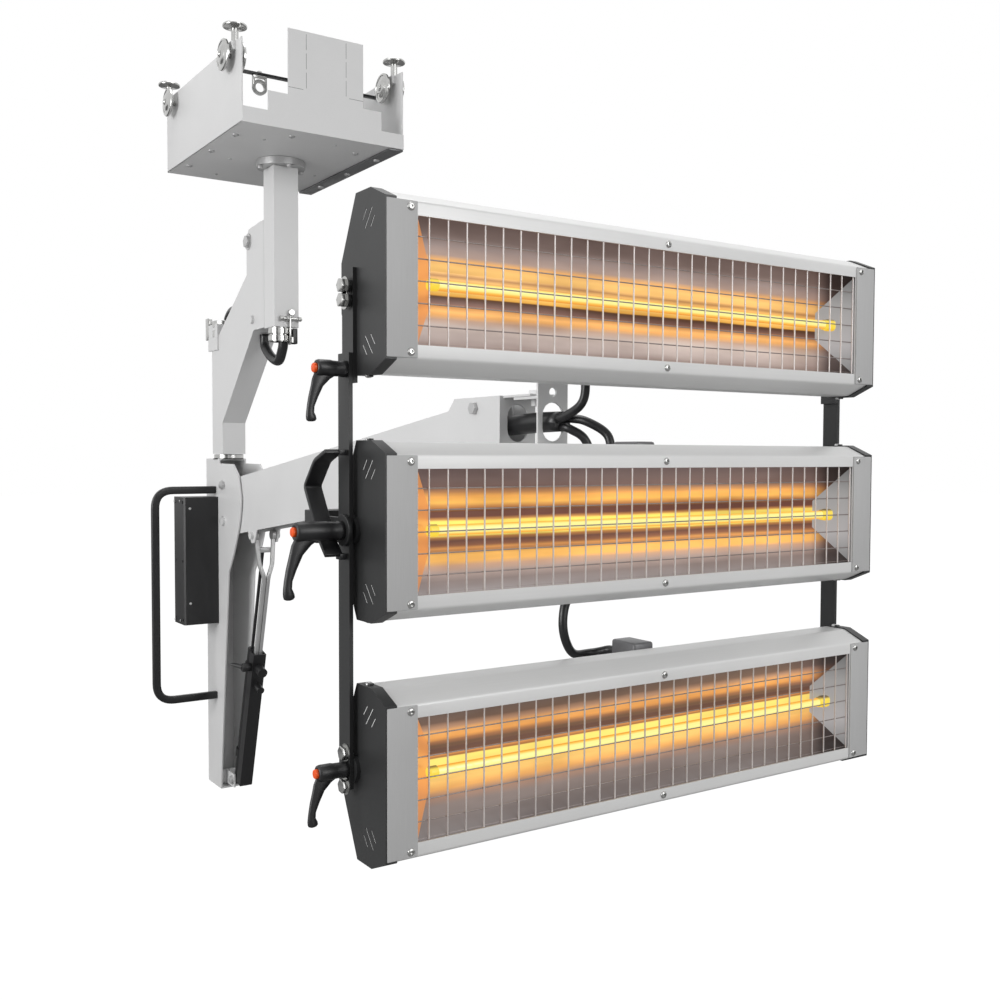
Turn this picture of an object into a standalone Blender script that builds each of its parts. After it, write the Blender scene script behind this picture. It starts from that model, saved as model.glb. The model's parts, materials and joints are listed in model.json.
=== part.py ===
import math

import bmesh
import bpy
from mathutils import Vector

# Three infrared cassettes on a sprung arm that hangs from a ceiling rail trolley.
# Metres, z up, origin where the column's axis crosses the rail's running surface.
# The cassettes shine towards -y.

# fits
GAP = 0.0003
LAP = 0.001
ROUND_SIDES = 16
SMALL_SIDES = 8
SMOOTH_ANGLE = math.radians(35)

# trolley
BOX_HALF_X = 0.185
BOX_HALF_Y = 0.245
BOX_BOTTOM = -0.115
BOX_TOP = 0.055
SHEET = 0.003
BACK_LIP_TOP = -0.083
BASE_SCREW_RADIUS = 0.0075
BASE_SCREW_HEIGHT = 0.004
BASE_SCREW_INSET = 0.022
BASE_SCREW_STEP = 0.15
STRIP_WIDTH = 0.034
STRIP_DROP = 0.004
TONGUE_HALF_X = 0.086
TONGUE_TOP = 0.092
STEP_HALF_X = 0.13
STEP_TOP = -0.043
FRONT_LIP_TOP = -0.083
FOLD_INSET = 0.018
FOLD_BOTTOM = -0.025
FOLD_WIDTH = 0.0012
FOLD_DEPTH = 0.0012
WHEEL_Y = 0.185
WHEEL_Z = 0.032
WHEEL_RADIUS = 0.032
WHEEL_RIM_RADIUS = 0.026
WHEEL_HUB_RADIUS = 0.013
WHEEL_WIDTH = 0.010
WHEEL_DISH = 0.003
WHEEL_STANDOFF = 0.014
AXLE_RADIUS = 0.006
GUIDE_FRONT_Y = -0.2055
GUIDE_REAR_Y = 0.2305
GUIDE_BOSS_HALF = 0.010
GUIDE_BOSS_HEIGHT = 0.018
GUIDE_PIN_RADIUS = 0.0045
GUIDE_PIN_LENGTH = 0.014
GUIDE_STEM_RADIUS = 0.0075
GUIDE_HEAD_RADIUS = 0.025
GUIDE_HEAD_BOTTOM = 0.074
GUIDE_EDGE_HEIGHT = 0.010
GUIDE_DOME_HEIGHT = 0.020
RAIL_BAR_Y = -0.124
RAIL_BAR_Z = 0.029
RAIL_BAR_WIDTH = 0.012
RAIL_BAR_HEIGHT = 0.005
EYE_X = -0.099
EYE_RADIUS = 0.015
EYE_HOLE_RADIUS = 0.0095
EYE_DROP = 0.028
EYE_THICKNESS = 0.008

# turning flange and column
FLANGE_RADIUS = 0.056
FLANGE_HEIGHT = 0.016
FLANGE_BOLT_RADIUS = 0.006
FLANGE_BOLT_HEIGHT = 0.006
FLANGE_BOLT_CIRCLE = 0.0495
FLANGE_BOLTS = 4
SPIGOT_RADIUS = 0.018
SPIGOT_HEAD_RADIUS = 0.024
SPIGOT_BORE_RADIUS = (SPIGOT_RADIUS + GAP) / math.cos(math.pi / ROUND_SIDES)
SPIGOT_HEAD_HEIGHT = 0.008
COLUMN_HALF = 0.03
COLUMN_WALL = 0.004
COLUMN_COLLAR_HEIGHT = 0.008
COLUMN_BOTTOM = -0.495

# crank under the column
CRANK_HEAD_Y = 0.050
CRANK_HEAD_Z = -0.245
CRANK_SHOULDER_Y = 0.125
CRANK_SHOULDER_Z = -0.252
CRANK_BACK_Y = 0.139
CRANK_BACK_TOP_Z = -0.268
CRANK_BACK_BOTTOM_Z = -0.357
CRANK_REAR_Y = 0.387
CRANK_REAR_TOP_Z = -0.517
CRANK_FOOT_Z = -0.785
CRANK_FRONT_Y = 0.312
CRANK_KNEE_Z = -0.706
CRANK_CHIN_Y = 0.096
CRANK_CHIN_Z = -0.492
CRANK_WALL = 0.004
CRANK_BOLT_RADIUS = 0.010
CRANK_BOLT_HEIGHT = 0.007
CRANK_BOLT_HIGH_Y = 0.125
CRANK_BOLT_HIGH_Z = -0.283
CRANK_BOLT_LOW_Y = 0.100
CRANK_BOLT_LOW_Z = -0.467

# hoses
HOSE_RADIUS = 0.0115
HOSE_BEND_STEPS = 6
COLUMN_HOSE_Y = -0.012
COLUMN_HOSE_TOP = -0.44
COLUMN_HOSE_LOW = -0.568
COLUMN_HOSE_SIDE_Z = -0.545
COLUMN_HOSE_MID_Y = 0.018
COLUMN_HOSE_RISE_Y = 0.062
COLUMN_HOSE_RISE_Z = -0.556
COLUMN_HOSE_END_Y = 0.104
COLUMN_HOSE_END_Z = -0.500
CLAMP_HALF_X = 0.027
CLAMP_HALF_Y = 0.016
CLAMP_BOTTOM = -0.521
CLAMP_SCREW_X = 0.021
CLAMP_SCREW_RADIUS = 0.005
CLAMP_SCREW_HEIGHT = 0.006
LOOP_FRONT_Y = 0.255
LOOP_FRONT_Z = -0.480
LOOP_RISE_Y = 0.270
LOOP_RISE_Z = -0.437
LOOP_TOP_Y = 0.309
LOOP_TOP_Z = -0.421
LOOP_REAR_Y = 0.345
LOOP_REAR_Z = -0.437
LOOP_DOWN_Y = 0.356
LOOP_DOWN_Z = -0.470
LOOP_END_Z = -0.540
LOOP_CLAMP_TOP = -0.454
LOOP_CLAMP_BOTTOM = -0.478
LOOP_CLAMP_FRONT_Y = 0.335
LOOP_CLAMP_REAR_Y = 0.404
LOOP_CLAMP_STANDOFF = 0.004

# post
POST_AXIS_Y = 0.351
POST_HALF = 0.036
POST_WALL = 0.004
POST_FRONT_Y = 0.324
POST_REAR_Y = 0.420
POST_TOP = -0.797
POST_BOTTOM = -1.647
CHEEK_TOP = -0.810
CHEEK_NOSE_Y = 0.223
CHEEK_FRONT_Y = 0.170
CHEEK_FRONT_Z = -0.893
CHEEK_CURVE_Z = -1.083
CHEEK_CURVE_Y = 0.261
CHEEK_CURVE_STEPS = 8
POST_SPIGOT_RADIUS = 0.016
POST_BORE_RADIUS = (POST_SPIGOT_RADIUS + GAP) / math.cos(math.pi / ROUND_SIDES)
POST_SPIGOT_LENGTH = 0.028
POST_RING_RADIUS = 0.037
CLEVIS_HALF = 0.0165
CLEVIS_WALL = 0.004
CLEVIS_HEIGHT = 0.034
CLEVIS_NOSE = 0.013
CLEVIS_PIN_RADIUS = 0.004
CLEVIS_WEB_Y = 0.340

# arm, straight from the post's upper pivot to the wrist
PIVOT_Y = 0.290
PIVOT_Z = -0.863
WRIST_Y = -0.887
WRIST_Z = -0.710
LINK_DROP = 0.092
ARM_HALF = 0.030
ARM_WALL = 0.003
ARM_TOP = 0.010
ARM_BOTTOM = -0.128
ARM_REAR = -0.016
ARM_NOSE = 0.018
ARM_REAR_CUT = 0.055
ARM_FRONT_CUT = 0.068
ARM_CUT_RISE = 0.032
ARM_CUT_HEIGHT = -0.050
ARM_EAR_HEIGHT = -0.020
PIVOT_BOLT_RADIUS = 0.006
PIVOT_HEAD_RADIUS = 0.0105
PIVOT_HEAD_HEIGHT = 0.007
LUG_Y = 0.111
LUG_Z = -0.980
LUG_HALF_LENGTH = 0.030
LUG_NOSE = 0.018
LUG_BOLT_RADIUS = 0.009
LUG_BOLT_HEIGHT = 0.007
LINK_HALF_WIDTH = 0.006
LINK_HALF_HEIGHT = 0.013
LINK_EYE_RADIUS = 0.013
LINK_PIN_RADIUS = 0.005

# gas spring and locking strut, from the post's foot to the arm's lug
FOOT_Y = 0.296
FOOT_Z = -1.620
CYLINDER_RADIUS = 0.011
CYLINDER_END_SHARE = 0.553
CYLINDER_BORE_SHARE = 0.150
ROD_RADIUS = 0.004
ROD_START_SHARE = 0.290
FOOT_EYE_RADIUS = 0.012
STRUT_OFFSET = 0.038
STRUT_HALF_WIDTH = 0.016
STRUT_HALF_DEPTH = 0.0135
STRUT_WALL = 0.0025
STRUT_START_SHARE = 0.016
STRUT_END_SHARE = 0.560
STRUT_BAND_LOW_SHARE = 0.12
STRUT_BAND_HIGH_SHARE = 0.48
STRUT_BAND_LENGTH = 0.022
STRUT_BAND_WALL = 0.003
TINE_RADIUS = 0.0045
TINE_X = 0.008
TINE_START_SHARE = 0.34
HEAD_BLOCK_RADIUS = 0.013
HEAD_BRIDGE_SHARE = 0.945
HEAD_BRIDGE_LENGTH = 0.016
LOCK_SHARE = 0.505
LOCK_HUB_RADIUS = 0.008
LOCK_HUB_LENGTH = 0.022
LOCK_ARM_LENGTH = 0.075
LOCK_DROP_SHARE = 0.35
LOCK_ARM_RADIUS = 0.0055
LOCK_PIN_RADIUS = 0.004
KNOB_SHARE = 0.435
LOCK_KNOB_RADIUS = 0.012
KNOB_RADIUS = 0.009
KNOB_LENGTH = 0.028

# grab handle and control box on the post
GRAB_RADIUS = 0.012
GRAB_X = -0.191
GRAB_TOP = -0.877
GRAB_BOTTOM = -1.407
GRAB_CORNER = 0.045
GRAB_FOOT_RADIUS = 0.019
GRAB_FOOT_LENGTH = 0.005
CONTROL_LEFT = -0.125
CONTROL_FRONT_Y = 0.331
CONTROL_REAR_Y = 0.413
CONTROL_TOP = -0.8945
CONTROL_BOTTOM = -1.218
CONTROL_EDGE = 0.004
CONTROL_SCREW_RADIUS = 0.0035
CONTROL_SCREW_HEIGHT = 0.0015
CONTROL_SCREW_INSET = 0.013

# wrist
WRIST_CHEEK = 0.0045
WRIST_HALF = 0.035
WRIST_PLATE_Y = -0.960
WRIST_BACK_Y = -0.797
WRIST_TOP = -0.692
WRIST_BOTTOM = -0.842
WRIST_CORNER = 0.026
WRIST_SHELF_Y = -1.033
WRIST_SHELF = 0.004
SWIVEL_Y = -1.009
SWIVEL_PIN_RADIUS = 0.007
SWIVEL_PIN_LENGTH = 0.014
SWIVEL_HEAD_RADIUS = 0.012
SWIVEL_HEAD_HEIGHT = 0.007
BRACKET_PLATE_Y = -1.054
BRACKET_PLATE = 0.004
BRACKET_HALF = 0.028
BRACKET_TOP = -0.675
BRACKET_BOTTOM = -0.900
BRACKET_SHELF_Y = -0.989
BRACKET_HOLE_RADIUS = 0.007
BRACKET_HOLE_Z = -0.690
CABLE_HOLE_RADIUS = 0.0195
CABLE_HOLE_TOP = -0.7055
CABLE_HOLE_BOTTOM = -0.765

# head frame
CASSETTE_LENGTH = 0.840
CASSETTE_FRONT_Y = -1.309
CASSETTE_EDGE_DEPTH = 0.0335
CASSETTE_MID_DEPTH = 0.071
CASSETTE_DEPTH = 0.108
CASSETTE_FACE_HALF = 0.089
CASSETTE_HALF = 0.104
CASSETTE_BACK_HALF = 0.029
CASSETTE_SHEET = 0.0025
CASSETTE_PITCH = 0.287
HEAD_Z = -0.875
MOUTH_HALF_X = 0.380
MOUTH_HALF_Z = 0.073
REFLECTOR_DEPTH = 0.044
REFLECTOR_BACK_HALF_X = 0.340
REFLECTOR_BACK_HALF_Z = 0.018
CAP_WRAP = 0.012
CAP_WALL = 0.0025
CAP_SKIN = 0.0015
CAP_SCREW_RADIUS = 0.004
CAP_SCREW_HEIGHT = 0.002
SLOT_HALF_LENGTH = 0.0107
SLOT_SHORT_SHARE = 0.55
SLOT_LEAN = 0.009
SLOT_HALF_WIDTH = 0.0012
SLOT_DEPTH = 0.0015
SLOT_STEP = 0.010
SLOT_Z = 0.072
SLOT_Y = -1.270
SLOTS = 3
SPACER_RADIUS = 0.017
SHORT_BAR = 0.005
STUD_RADIUS = 0.005
BAR_THICKNESS = 0.005
BAR_FRONT_Y = -1.240
BAR_REAR_Y = -1.211
BAR_TOP = -0.667
BAR_BOTTOM = -1.182
SHORT_BAR_TOP = -0.568
SHORT_BAR_BOTTOM = -0.702
HINGE_Y = -1.231
TOP_HINGE_Z = -0.686
BOTTOM_HINGE_Z = -1.159
HEX_RADIUS = 0.0075
HEX_HEIGHT = 0.0055
HEX_SIDES = 6
TOP_HEX_HIGH_Z = -0.589
TOP_HEX_LOW_Z = -0.606
BOTTOM_HEX_OFFSET = 0.0165
YOKE_THICKNESS = 0.005
YOKE_EYE_RADIUS = 0.019
YOKE_PLATE_HALF = 0.015
YOKE_BEAM_FRONT_Y = -1.159
YOKE_BEAM_REAR_Y = -1.124
YOKE_BEAM_HALF = 0.020
LEVER_HUB_RADIUS = 0.010
MIDDLE_HUB_RADIUS = 0.0115
LEVER_OVERHANG = 0.051
MIDDLE_LEVER_OVERHANG = 0.078
LEVER_ARM = 0.062
MIDDLE_LEVER_ARM = 0.078
MIDDLE_LEVER_LEAN = 0.014
LEVER_ROOT_WIDTH = 0.0226
LEVER_MID_WIDTH = 0.0125
LEVER_TIP_WIDTH = 0.0145
LEVER_LEAN = 0.011
LEVER_MID_SHARE = 0.6
LEVER_ARM_THICKNESS = 0.011
BUTTON_RADIUS = 0.0065
BUTTON_DEPTH = 0.010
BUTTON_PROUD = 0.004
BUTTON_TRAVEL_ROOM = 0.004
NUT_HEIGHT = 0.007
NUT_RADIUS = 0.0095
STRAP_WIDTH = 0.022
STRAP_THICKNESS = 0.005
STRAP_OVERHANG = 0.020
STRAP_TAB_HALF = 0.005
STRAP_LOW_Y = -1.236
STRAP_LOW_Z = -0.904
STRAP_TURN_Y = -1.2195
STRAP_TURN_Z = -0.8885
STRAP_RISE_Y = -1.200
STRAP_RISE_Z = -0.860
STRAP_BEND_Y = -1.176
STRAP_BEND_Z = -0.824
STRAP_CORNER_Y = -1.205
STRAP_CORNER_Z = -0.793
STRAP_HIGH_Y = -1.236
STRAP_HIGH_Z = -0.782
GLAND_RADIUS = 0.011
GLAND_LENGTH = 0.012
TERMINAL_LEFT = 0.016
TERMINAL_WIDTH = 0.048
TERMINAL_FRONT_Y = -1.245
TERMINAL_REAR_Y = -1.169
TERMINAL_LOW = 0.066
TERMINAL_HIGH = 0.110

# guard, reflector strips and lamp
GUARD_WIRE = 0.0024
GUARD_PITCH_X = 0.0507
GUARD_PITCH_Z = 0.0487
GUARD_SEAT = 0.007
STRIP_END_WIDTH = 0.039
STRIP_END_THICKNESS = 0.0015
BUTTON_SCREW_RADIUS = 0.005
BUTTON_SCREW_HEIGHT = 0.0025
BUTTON_SCREW_X = 0.390
BUTTON_SCREW_Z = 0.0815
LAMP_RADIUS = 0.0065
LAMP_Y = -1.289
LAMP_SOCKET_RADIUS = 0.010
LAMP_SOCKET_LENGTH = 0.014

# cables behind the head
BUNDLE_RADIUS = 0.0168
BUNDLE_Z = -0.735
BUNDLE_START_Y = -0.905
BUNDLE_BEND_Y = -1.000
BUNDLE_END_Y = -1.078
BUNDLE_SAG = 0.006
CABLE_RADIUS = 0.0068
CABLE_SPREAD = 0.008
TOP_WAY_Y = -1.130
TOP_WAY_X = 0.006
TOP_WAY_LOW = 0.030
TOP_WAY_RISE = 0.095
TOP_BEND_Y = -1.140
TOP_BEND_DROP = 0.050
MIDDLE_WAY_X = 0.018
MIDDLE_WAY_Y = -1.112
MIDDLE_BEND_Y = -1.136
MIDDLE_BEND_DROP = 0.020
BOTTOM_WAY_X = 0.041
BOTTOM_WAY_Y = -1.109
BOTTOM_WAY_DROP = 0.034
BOTTOM_SWING_X = 0.030
BOTTOM_SWING_Y = -1.124
BOTTOM_SWING_Z = -1.010

for thing in list(bpy.data.objects):
    bpy.data.objects.remove(thing)

COLUMN_TOP = BOX_BOTTOM - GAP - FLANGE_HEIGHT - GAP
STRUT_RUN = Vector((0, LUG_Y - FOOT_Y, LUG_Z - FOOT_Z))
STRUT_WAY = STRUT_RUN.normalized()
STRUT_SIDE = Vector((0, -STRUT_WAY.z, STRUT_WAY.y))
ARM_ANGLE = math.atan2(WRIST_Z - PIVOT_Z, PIVOT_Y - WRIST_Y)
ARM_LENGTH = math.hypot(WRIST_Z - PIVOT_Z, PIVOT_Y - WRIST_Y)
CAP_FACE = CASSETTE_LENGTH / 2 + GAP + CAP_WALL
SHORT_BAR_FACE = CAP_FACE + SHORT_BAR
BAR_INNER = SHORT_BAR_FACE + GAP
BAR_OUTER = BAR_INNER + BAR_THICKNESS
LEVER_OUTER_X = -CASSETTE_LENGTH / 2 - LEVER_OVERHANG
MIDDLE_LEVER_OUTER_X = -CASSETTE_LENGTH / 2 - MIDDLE_LEVER_OVERHANG
LOOP_CLAMP_HALF_X = COLUMN_HALF + LOOP_CLAMP_STANDOFF
STRAP_INNER_X = -CASSETTE_LENGTH / 2 - STRAP_OVERHANG
YOKE_INNER = BAR_OUTER + GAP
YOKE_OUTER = YOKE_INNER + YOKE_THICKNESS


def material(name, colour, roughness, metallic):
    made = bpy.data.materials.new(name)
    made.use_nodes = True
    shader = made.node_tree.nodes["Principled BSDF"]
    shader.inputs["Base Color"].default_value = (*colour, 1)
    shader.inputs["Roughness"].default_value = roughness
    shader.inputs["Metallic"].default_value = metallic
    return made


PAINT = material("light_paint", (0.78, 0.78, 0.77), 0.4, 0)
ZINC = material("bright_zinc", (0.62, 0.61, 0.58), 0.22, 1)
BLACK = material("black_plastic", (0.018, 0.018, 0.02), 0.5, 0)
RUBBER = material("black_rubber", (0.015, 0.015, 0.016), 0.65, 0)
DARK = material("dark_steel", (0.06, 0.062, 0.065), 0.42, 0.4)
CASING = material("casing_aluminium", (0.76, 0.77, 0.78), 0.38, 0.3)
CAP = material("anthracite_paint", (0.045, 0.048, 0.052), 0.45, 0)
GUARD = material("guard_steel", (0.66, 0.65, 0.63), 0.28, 1)
GLOW = material("glowing_tube", (1.0, 0.62, 0.12), 0.3, 0)
ORANGE = material("orange_plastic", (0.85, 0.13, 0.02), 0.42, 0)


def keep(mesh):
    made = bpy.data.objects.new("solid", mesh)
    bpy.context.scene.collection.objects.link(made)
    return made


def from_bmesh(shape):
    bmesh.ops.recalc_face_normals(shape, faces=shape.faces)
    mesh = bpy.data.meshes.new("solid")
    shape.to_mesh(mesh)
    shape.free()
    return keep(mesh)


def axes(axis):
    """The three directions of a shape drawn in a plane and pushed along an axis."""
    return {
        "x": (Vector((0, 1, 0)), Vector((0, 0, 1)), Vector((1, 0, 0))),
        "y": (Vector((1, 0, 0)), Vector((0, 0, 1)), Vector((0, 1, 0))),
        "z": (Vector((1, 0, 0)), Vector((0, 1, 0)), Vector((0, 0, 1))),
    }[axis]


def prism(axis, outline, start, end):
    across, up, along = axes(axis)
    shape = bmesh.new()
    rings = []
    for place in (start, end):
        rings.append([shape.verts.new(across * a + up * b + along * place) for a, b in outline])
    shape.faces.new(rings[0])
    shape.faces.new(rings[1])
    for i in range(len(outline)):
        j = (i + 1) % len(outline)
        shape.faces.new((rings[0][i], rings[0][j], rings[1][j], rings[1][i]))
    return from_bmesh(shape)


def block(x, y, z):
    return prism("z", [(x[0], y[0]), (x[1], y[0]), (x[1], y[1]), (x[0], y[1])], z[0], z[1])


def ring_points(a, b, radius, sides=ROUND_SIDES, turn=0.0):
    steps = [turn + math.tau * i / sides for i in range(sides)]
    return [(a + radius * math.cos(t), b + radius * math.sin(t)) for t in steps]


def disc(axis, a, b, radius, start, end, sides=ROUND_SIDES):
    return prism(axis, ring_points(a, b, radius, sides), start, end)


def slotted(axis, a, low, high, radius, start, end):
    """A hole with round ends, taller than it is wide."""
    half = ROUND_SIDES // 2
    arc = [(radius * math.cos(math.pi * i / half), radius * math.sin(math.pi * i / half)) for i in range(half + 1)]
    upper = [(a + across, high - radius + rise) for across, rise in arc]
    lower = [(a - across, low + radius - rise) for across, rise in arc]
    return prism(axis, upper + lower, start, end)


def lathe(axis, a, b, profile):
    """A solid turned about an axis; the profile runs from one end of the axis to the other."""
    across, up, along = axes(axis)
    centre = across * a + up * b
    shape = bmesh.new()
    rings = []
    for radius, place in profile:
        ring = []
        for i in range(ROUND_SIDES):
            turn = math.tau * i / ROUND_SIDES
            spoke = across * (radius * math.cos(turn)) + up * (radius * math.sin(turn))
            ring.append(shape.verts.new(centre + spoke + along * place))
        rings.append(ring)
    shape.faces.new(rings[0])
    shape.faces.new(rings[-1])
    for lower, upper in zip(rings, rings[1:]):
        for i in range(ROUND_SIDES):
            j = (i + 1) % ROUND_SIDES
            shape.faces.new((lower[i], lower[j], upper[j], upper[i]))
    return from_bmesh(shape)


def rod(start, end, radius, sides=ROUND_SIDES):
    way = (end - start).normalized()
    side = way.orthogonal().normalized()
    other = way.cross(side)
    shape = bmesh.new()
    rings = []
    for centre in (start, end):
        ring = []
        for i in range(sides):
            turn = math.tau * i / sides
            away = side * math.cos(turn) + other * math.sin(turn)
            ring.append(shape.verts.new(centre + away * radius))
        rings.append(ring)
    shape.faces.new(rings[0])
    shape.faces.new(rings[1])
    for i in range(sides):
        j = (i + 1) % sides
        shape.faces.new((rings[0][i], rings[0][j], rings[1][j], rings[1][i]))
    return from_bmesh(shape)


def smooth_route(points, steps=HOSE_BEND_STEPS):
    """Points along a smooth curve through the given ones."""
    ends = [points[0] * 2 - points[1], *points, points[-1] * 2 - points[-2]]
    route = []
    for a, b, c, d in zip(ends, ends[1:], ends[2:], ends[3:]):
        for i in range(steps):
            t = i / steps
            square = 2 * a - 5 * b + 4 * c - d
            cube = 3 * b - a - 3 * c + d
            route.append((2 * b + (c - a) * t + square * t**2 + cube * t**3) / 2)
    route.append(points[-1])
    return route


def led_route(points, steps):
    """A smooth route whose first and last stretches run straight, so that its ends are square."""
    return [points[0], *smooth_route(points[1:-1], steps), points[-1]]


def hose(route, radius, resolution=2):
    curve = bpy.data.curves.new("hose", "CURVE")
    curve.dimensions = "3D"
    curve.bevel_depth = radius
    curve.bevel_resolution = resolution
    curve.use_fill_caps = True
    line = curve.splines.new("POLY")
    line.points.add(len(route) - 1)
    for point, place in zip(line.points, route):
        point.co = (*place, 1)
    made = bpy.data.objects.new("hose", curve)
    bpy.context.scene.collection.objects.link(made)
    bpy.context.view_layer.update()
    mesh = bpy.data.meshes.new_from_object(made.evaluated_get(bpy.context.evaluated_depsgraph_get()))
    bpy.data.objects.remove(made)
    shape = bmesh.new()
    shape.from_mesh(mesh)
    bmesh.ops.remove_doubles(shape, verts=shape.verts, dist=GAP / 10)
    return from_bmesh(shape)


def combine(base, others, operation):
    for other in others:
        change = base.modifiers.new("combine", "BOOLEAN")
        change.operation = operation
        change.solver = "EXACT"
        change.object = other
    bpy.context.view_layer.update()
    whole = base.evaluated_get(bpy.context.evaluated_depsgraph_get())
    base.data = bpy.data.meshes.new_from_object(whole)
    base.modifiers.clear()
    for other in others:
        bpy.data.objects.remove(other)
    return base


def node(name, finish, origin, solids, cuts=()):
    made = solids[0]
    if len(solids) > 1:
        made = combine(made, solids[1:], "UNION")
    if cuts:
        made = combine(made, list(cuts), "DIFFERENCE")
    made.name = name
    made.data.name = name
    made.data.materials.clear()
    made.data.materials.append(finish)
    for vertex in made.data.vertices:
        vertex.co -= Vector(origin)
    made.location = origin
    for face in made.data.polygons:
        face.use_smooth = True
    made.data.set_sharp_from_angle(angle=SMOOTH_ANGLE)
    return made


def arm_place(along, height):
    y = PIVOT_Y - along * math.cos(ARM_ANGLE) + height * math.sin(ARM_ANGLE)
    return y, PIVOT_Z + along * math.sin(ARM_ANGLE) + height * math.cos(ARM_ANGLE)


def strut_place(share, offset=0.0, x=0.0):
    return Vector((x, FOOT_Y, FOOT_Z)) + STRUT_RUN * share + STRUT_SIDE * offset


# trolley box with its guide roller bosses
solids = [
    block((-BOX_HALF_X, BOX_HALF_X), (-BOX_HALF_Y, BOX_HALF_Y), (BOX_BOTTOM, BOX_BOTTOM + SHEET)),
    block((-BOX_HALF_X, BOX_HALF_X), (BOX_HALF_Y - SHEET, BOX_HALF_Y), (BOX_BOTTOM, BACK_LIP_TOP)),
    block(
        (BOX_HALF_X - STRIP_WIDTH, BOX_HALF_X),
        (-BOX_HALF_Y, BOX_HALF_Y),
        (BOX_BOTTOM - STRIP_DROP, BOX_BOTTOM + LAP),
    ),
]
cuts = [disc("z", 0, 0, SPIGOT_BORE_RADIUS, BOX_BOTTOM - LAP, BOX_BOTTOM + SHEET + LAP)]
for side in (-1, 1):
    plate = sorted((side * (BOX_HALF_X - SHEET), side * BOX_HALF_X))
    solids.append(block(plate, (-BOX_HALF_Y, BOX_HALF_Y), (BOX_BOTTOM, BOX_TOP)))
    guide_x = side * (BOX_HALF_X - SHEET / 2)
    screw_x = side * (BOX_HALF_X - BASE_SCREW_INSET)
    for step in (-1, 0, 1):
        drop = STRIP_DROP if side > 0 else 0
        solids.append(disc(
            "z", screw_x, step * BASE_SCREW_STEP, BASE_SCREW_RADIUS,
            BOX_BOTTOM - drop - BASE_SCREW_HEIGHT, BOX_BOTTOM + LAP, SMALL_SIDES,
        ))
    for end in (-1, 1):
        guide_y = GUIDE_FRONT_Y if end < 0 else GUIDE_REAR_Y
        reach = (guide_y - GUIDE_BOSS_HALF, guide_y + GUIDE_BOSS_HALF)
        boss_x = (guide_x - GUIDE_BOSS_HALF, guide_x + GUIDE_BOSS_HALF)
        solids.append(block(boss_x, reach, (BOX_TOP - GUIDE_BOSS_HEIGHT, BOX_TOP)))
        cuts.append(disc(
            "z", guide_x, guide_y, GUIDE_PIN_RADIUS + GAP,
            BOX_TOP - GUIDE_PIN_LENGTH - LAP, BOX_TOP + LAP,
        ))
        cuts.append(disc(
            "x", end * WHEEL_Y, WHEEL_Z, AXLE_RADIUS + GAP,
            plate[0] - LAP, plate[1] + LAP,
        ))
node("trolley_box", PAINT, (0, 0, 0), solids, cuts)

# front plate with its tall tongue
outer_y = -BOX_HALF_Y - GAP - SHEET
lip = BOX_HALF_X
outline = [
    (-lip, BOX_BOTTOM), (lip, BOX_BOTTOM), (lip, FRONT_LIP_TOP), (STEP_HALF_X, FRONT_LIP_TOP),
    (STEP_HALF_X, STEP_TOP), (TONGUE_HALF_X, STEP_TOP), (TONGUE_HALF_X, TONGUE_TOP),
    (-TONGUE_HALF_X, TONGUE_TOP), (-TONGUE_HALF_X, STEP_TOP), (-STEP_HALF_X, STEP_TOP),
    (-STEP_HALF_X, FRONT_LIP_TOP), (-lip, FRONT_LIP_TOP),
]
cuts = []
for side in (-1, 1):
    fold_x = side * (TONGUE_HALF_X - FOLD_INSET * 2)
    cuts.append(block(
        (fold_x - FOLD_WIDTH / 2, fold_x + FOLD_WIDTH / 2),
        (outer_y - LAP, outer_y + FOLD_DEPTH),
        (FOLD_BOTTOM, TONGUE_TOP + LAP),
    ))
plate = prism("y", outline, outer_y, outer_y + SHEET)
node("front_tongue_plate", PAINT, (0, outer_y, BOX_BOTTOM), [plate], cuts)

# cross bar with the eye for the supply cable
bar_end = BOX_HALF_X - SHEET - GAP
node(
    "cable_rail", DARK, (0, RAIL_BAR_Y, RAIL_BAR_Z),
    [
        block(
            (-bar_end, bar_end),
            (RAIL_BAR_Y - RAIL_BAR_WIDTH / 2, RAIL_BAR_Y + RAIL_BAR_WIDTH / 2),
            (RAIL_BAR_Z - RAIL_BAR_HEIGHT / 2, RAIL_BAR_Z + RAIL_BAR_HEIGHT / 2),
        ),
        disc(
            "y", EYE_X, RAIL_BAR_Z - EYE_DROP, EYE_RADIUS,
            RAIL_BAR_Y - EYE_THICKNESS / 2, RAIL_BAR_Y + EYE_THICKNESS / 2,
        ),
        block(
            (EYE_X - EYE_RADIUS, EYE_X + EYE_RADIUS),
            (RAIL_BAR_Y - EYE_THICKNESS / 2, RAIL_BAR_Y + EYE_THICKNESS / 2),
            (RAIL_BAR_Z - EYE_DROP, RAIL_BAR_Z),
        ),
    ],
    [disc(
        "y", EYE_X, RAIL_BAR_Z - EYE_DROP, EYE_HOLE_RADIUS,
        RAIL_BAR_Y - EYE_THICKNESS, RAIL_BAR_Y + EYE_THICKNESS,
    )],
)

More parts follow.
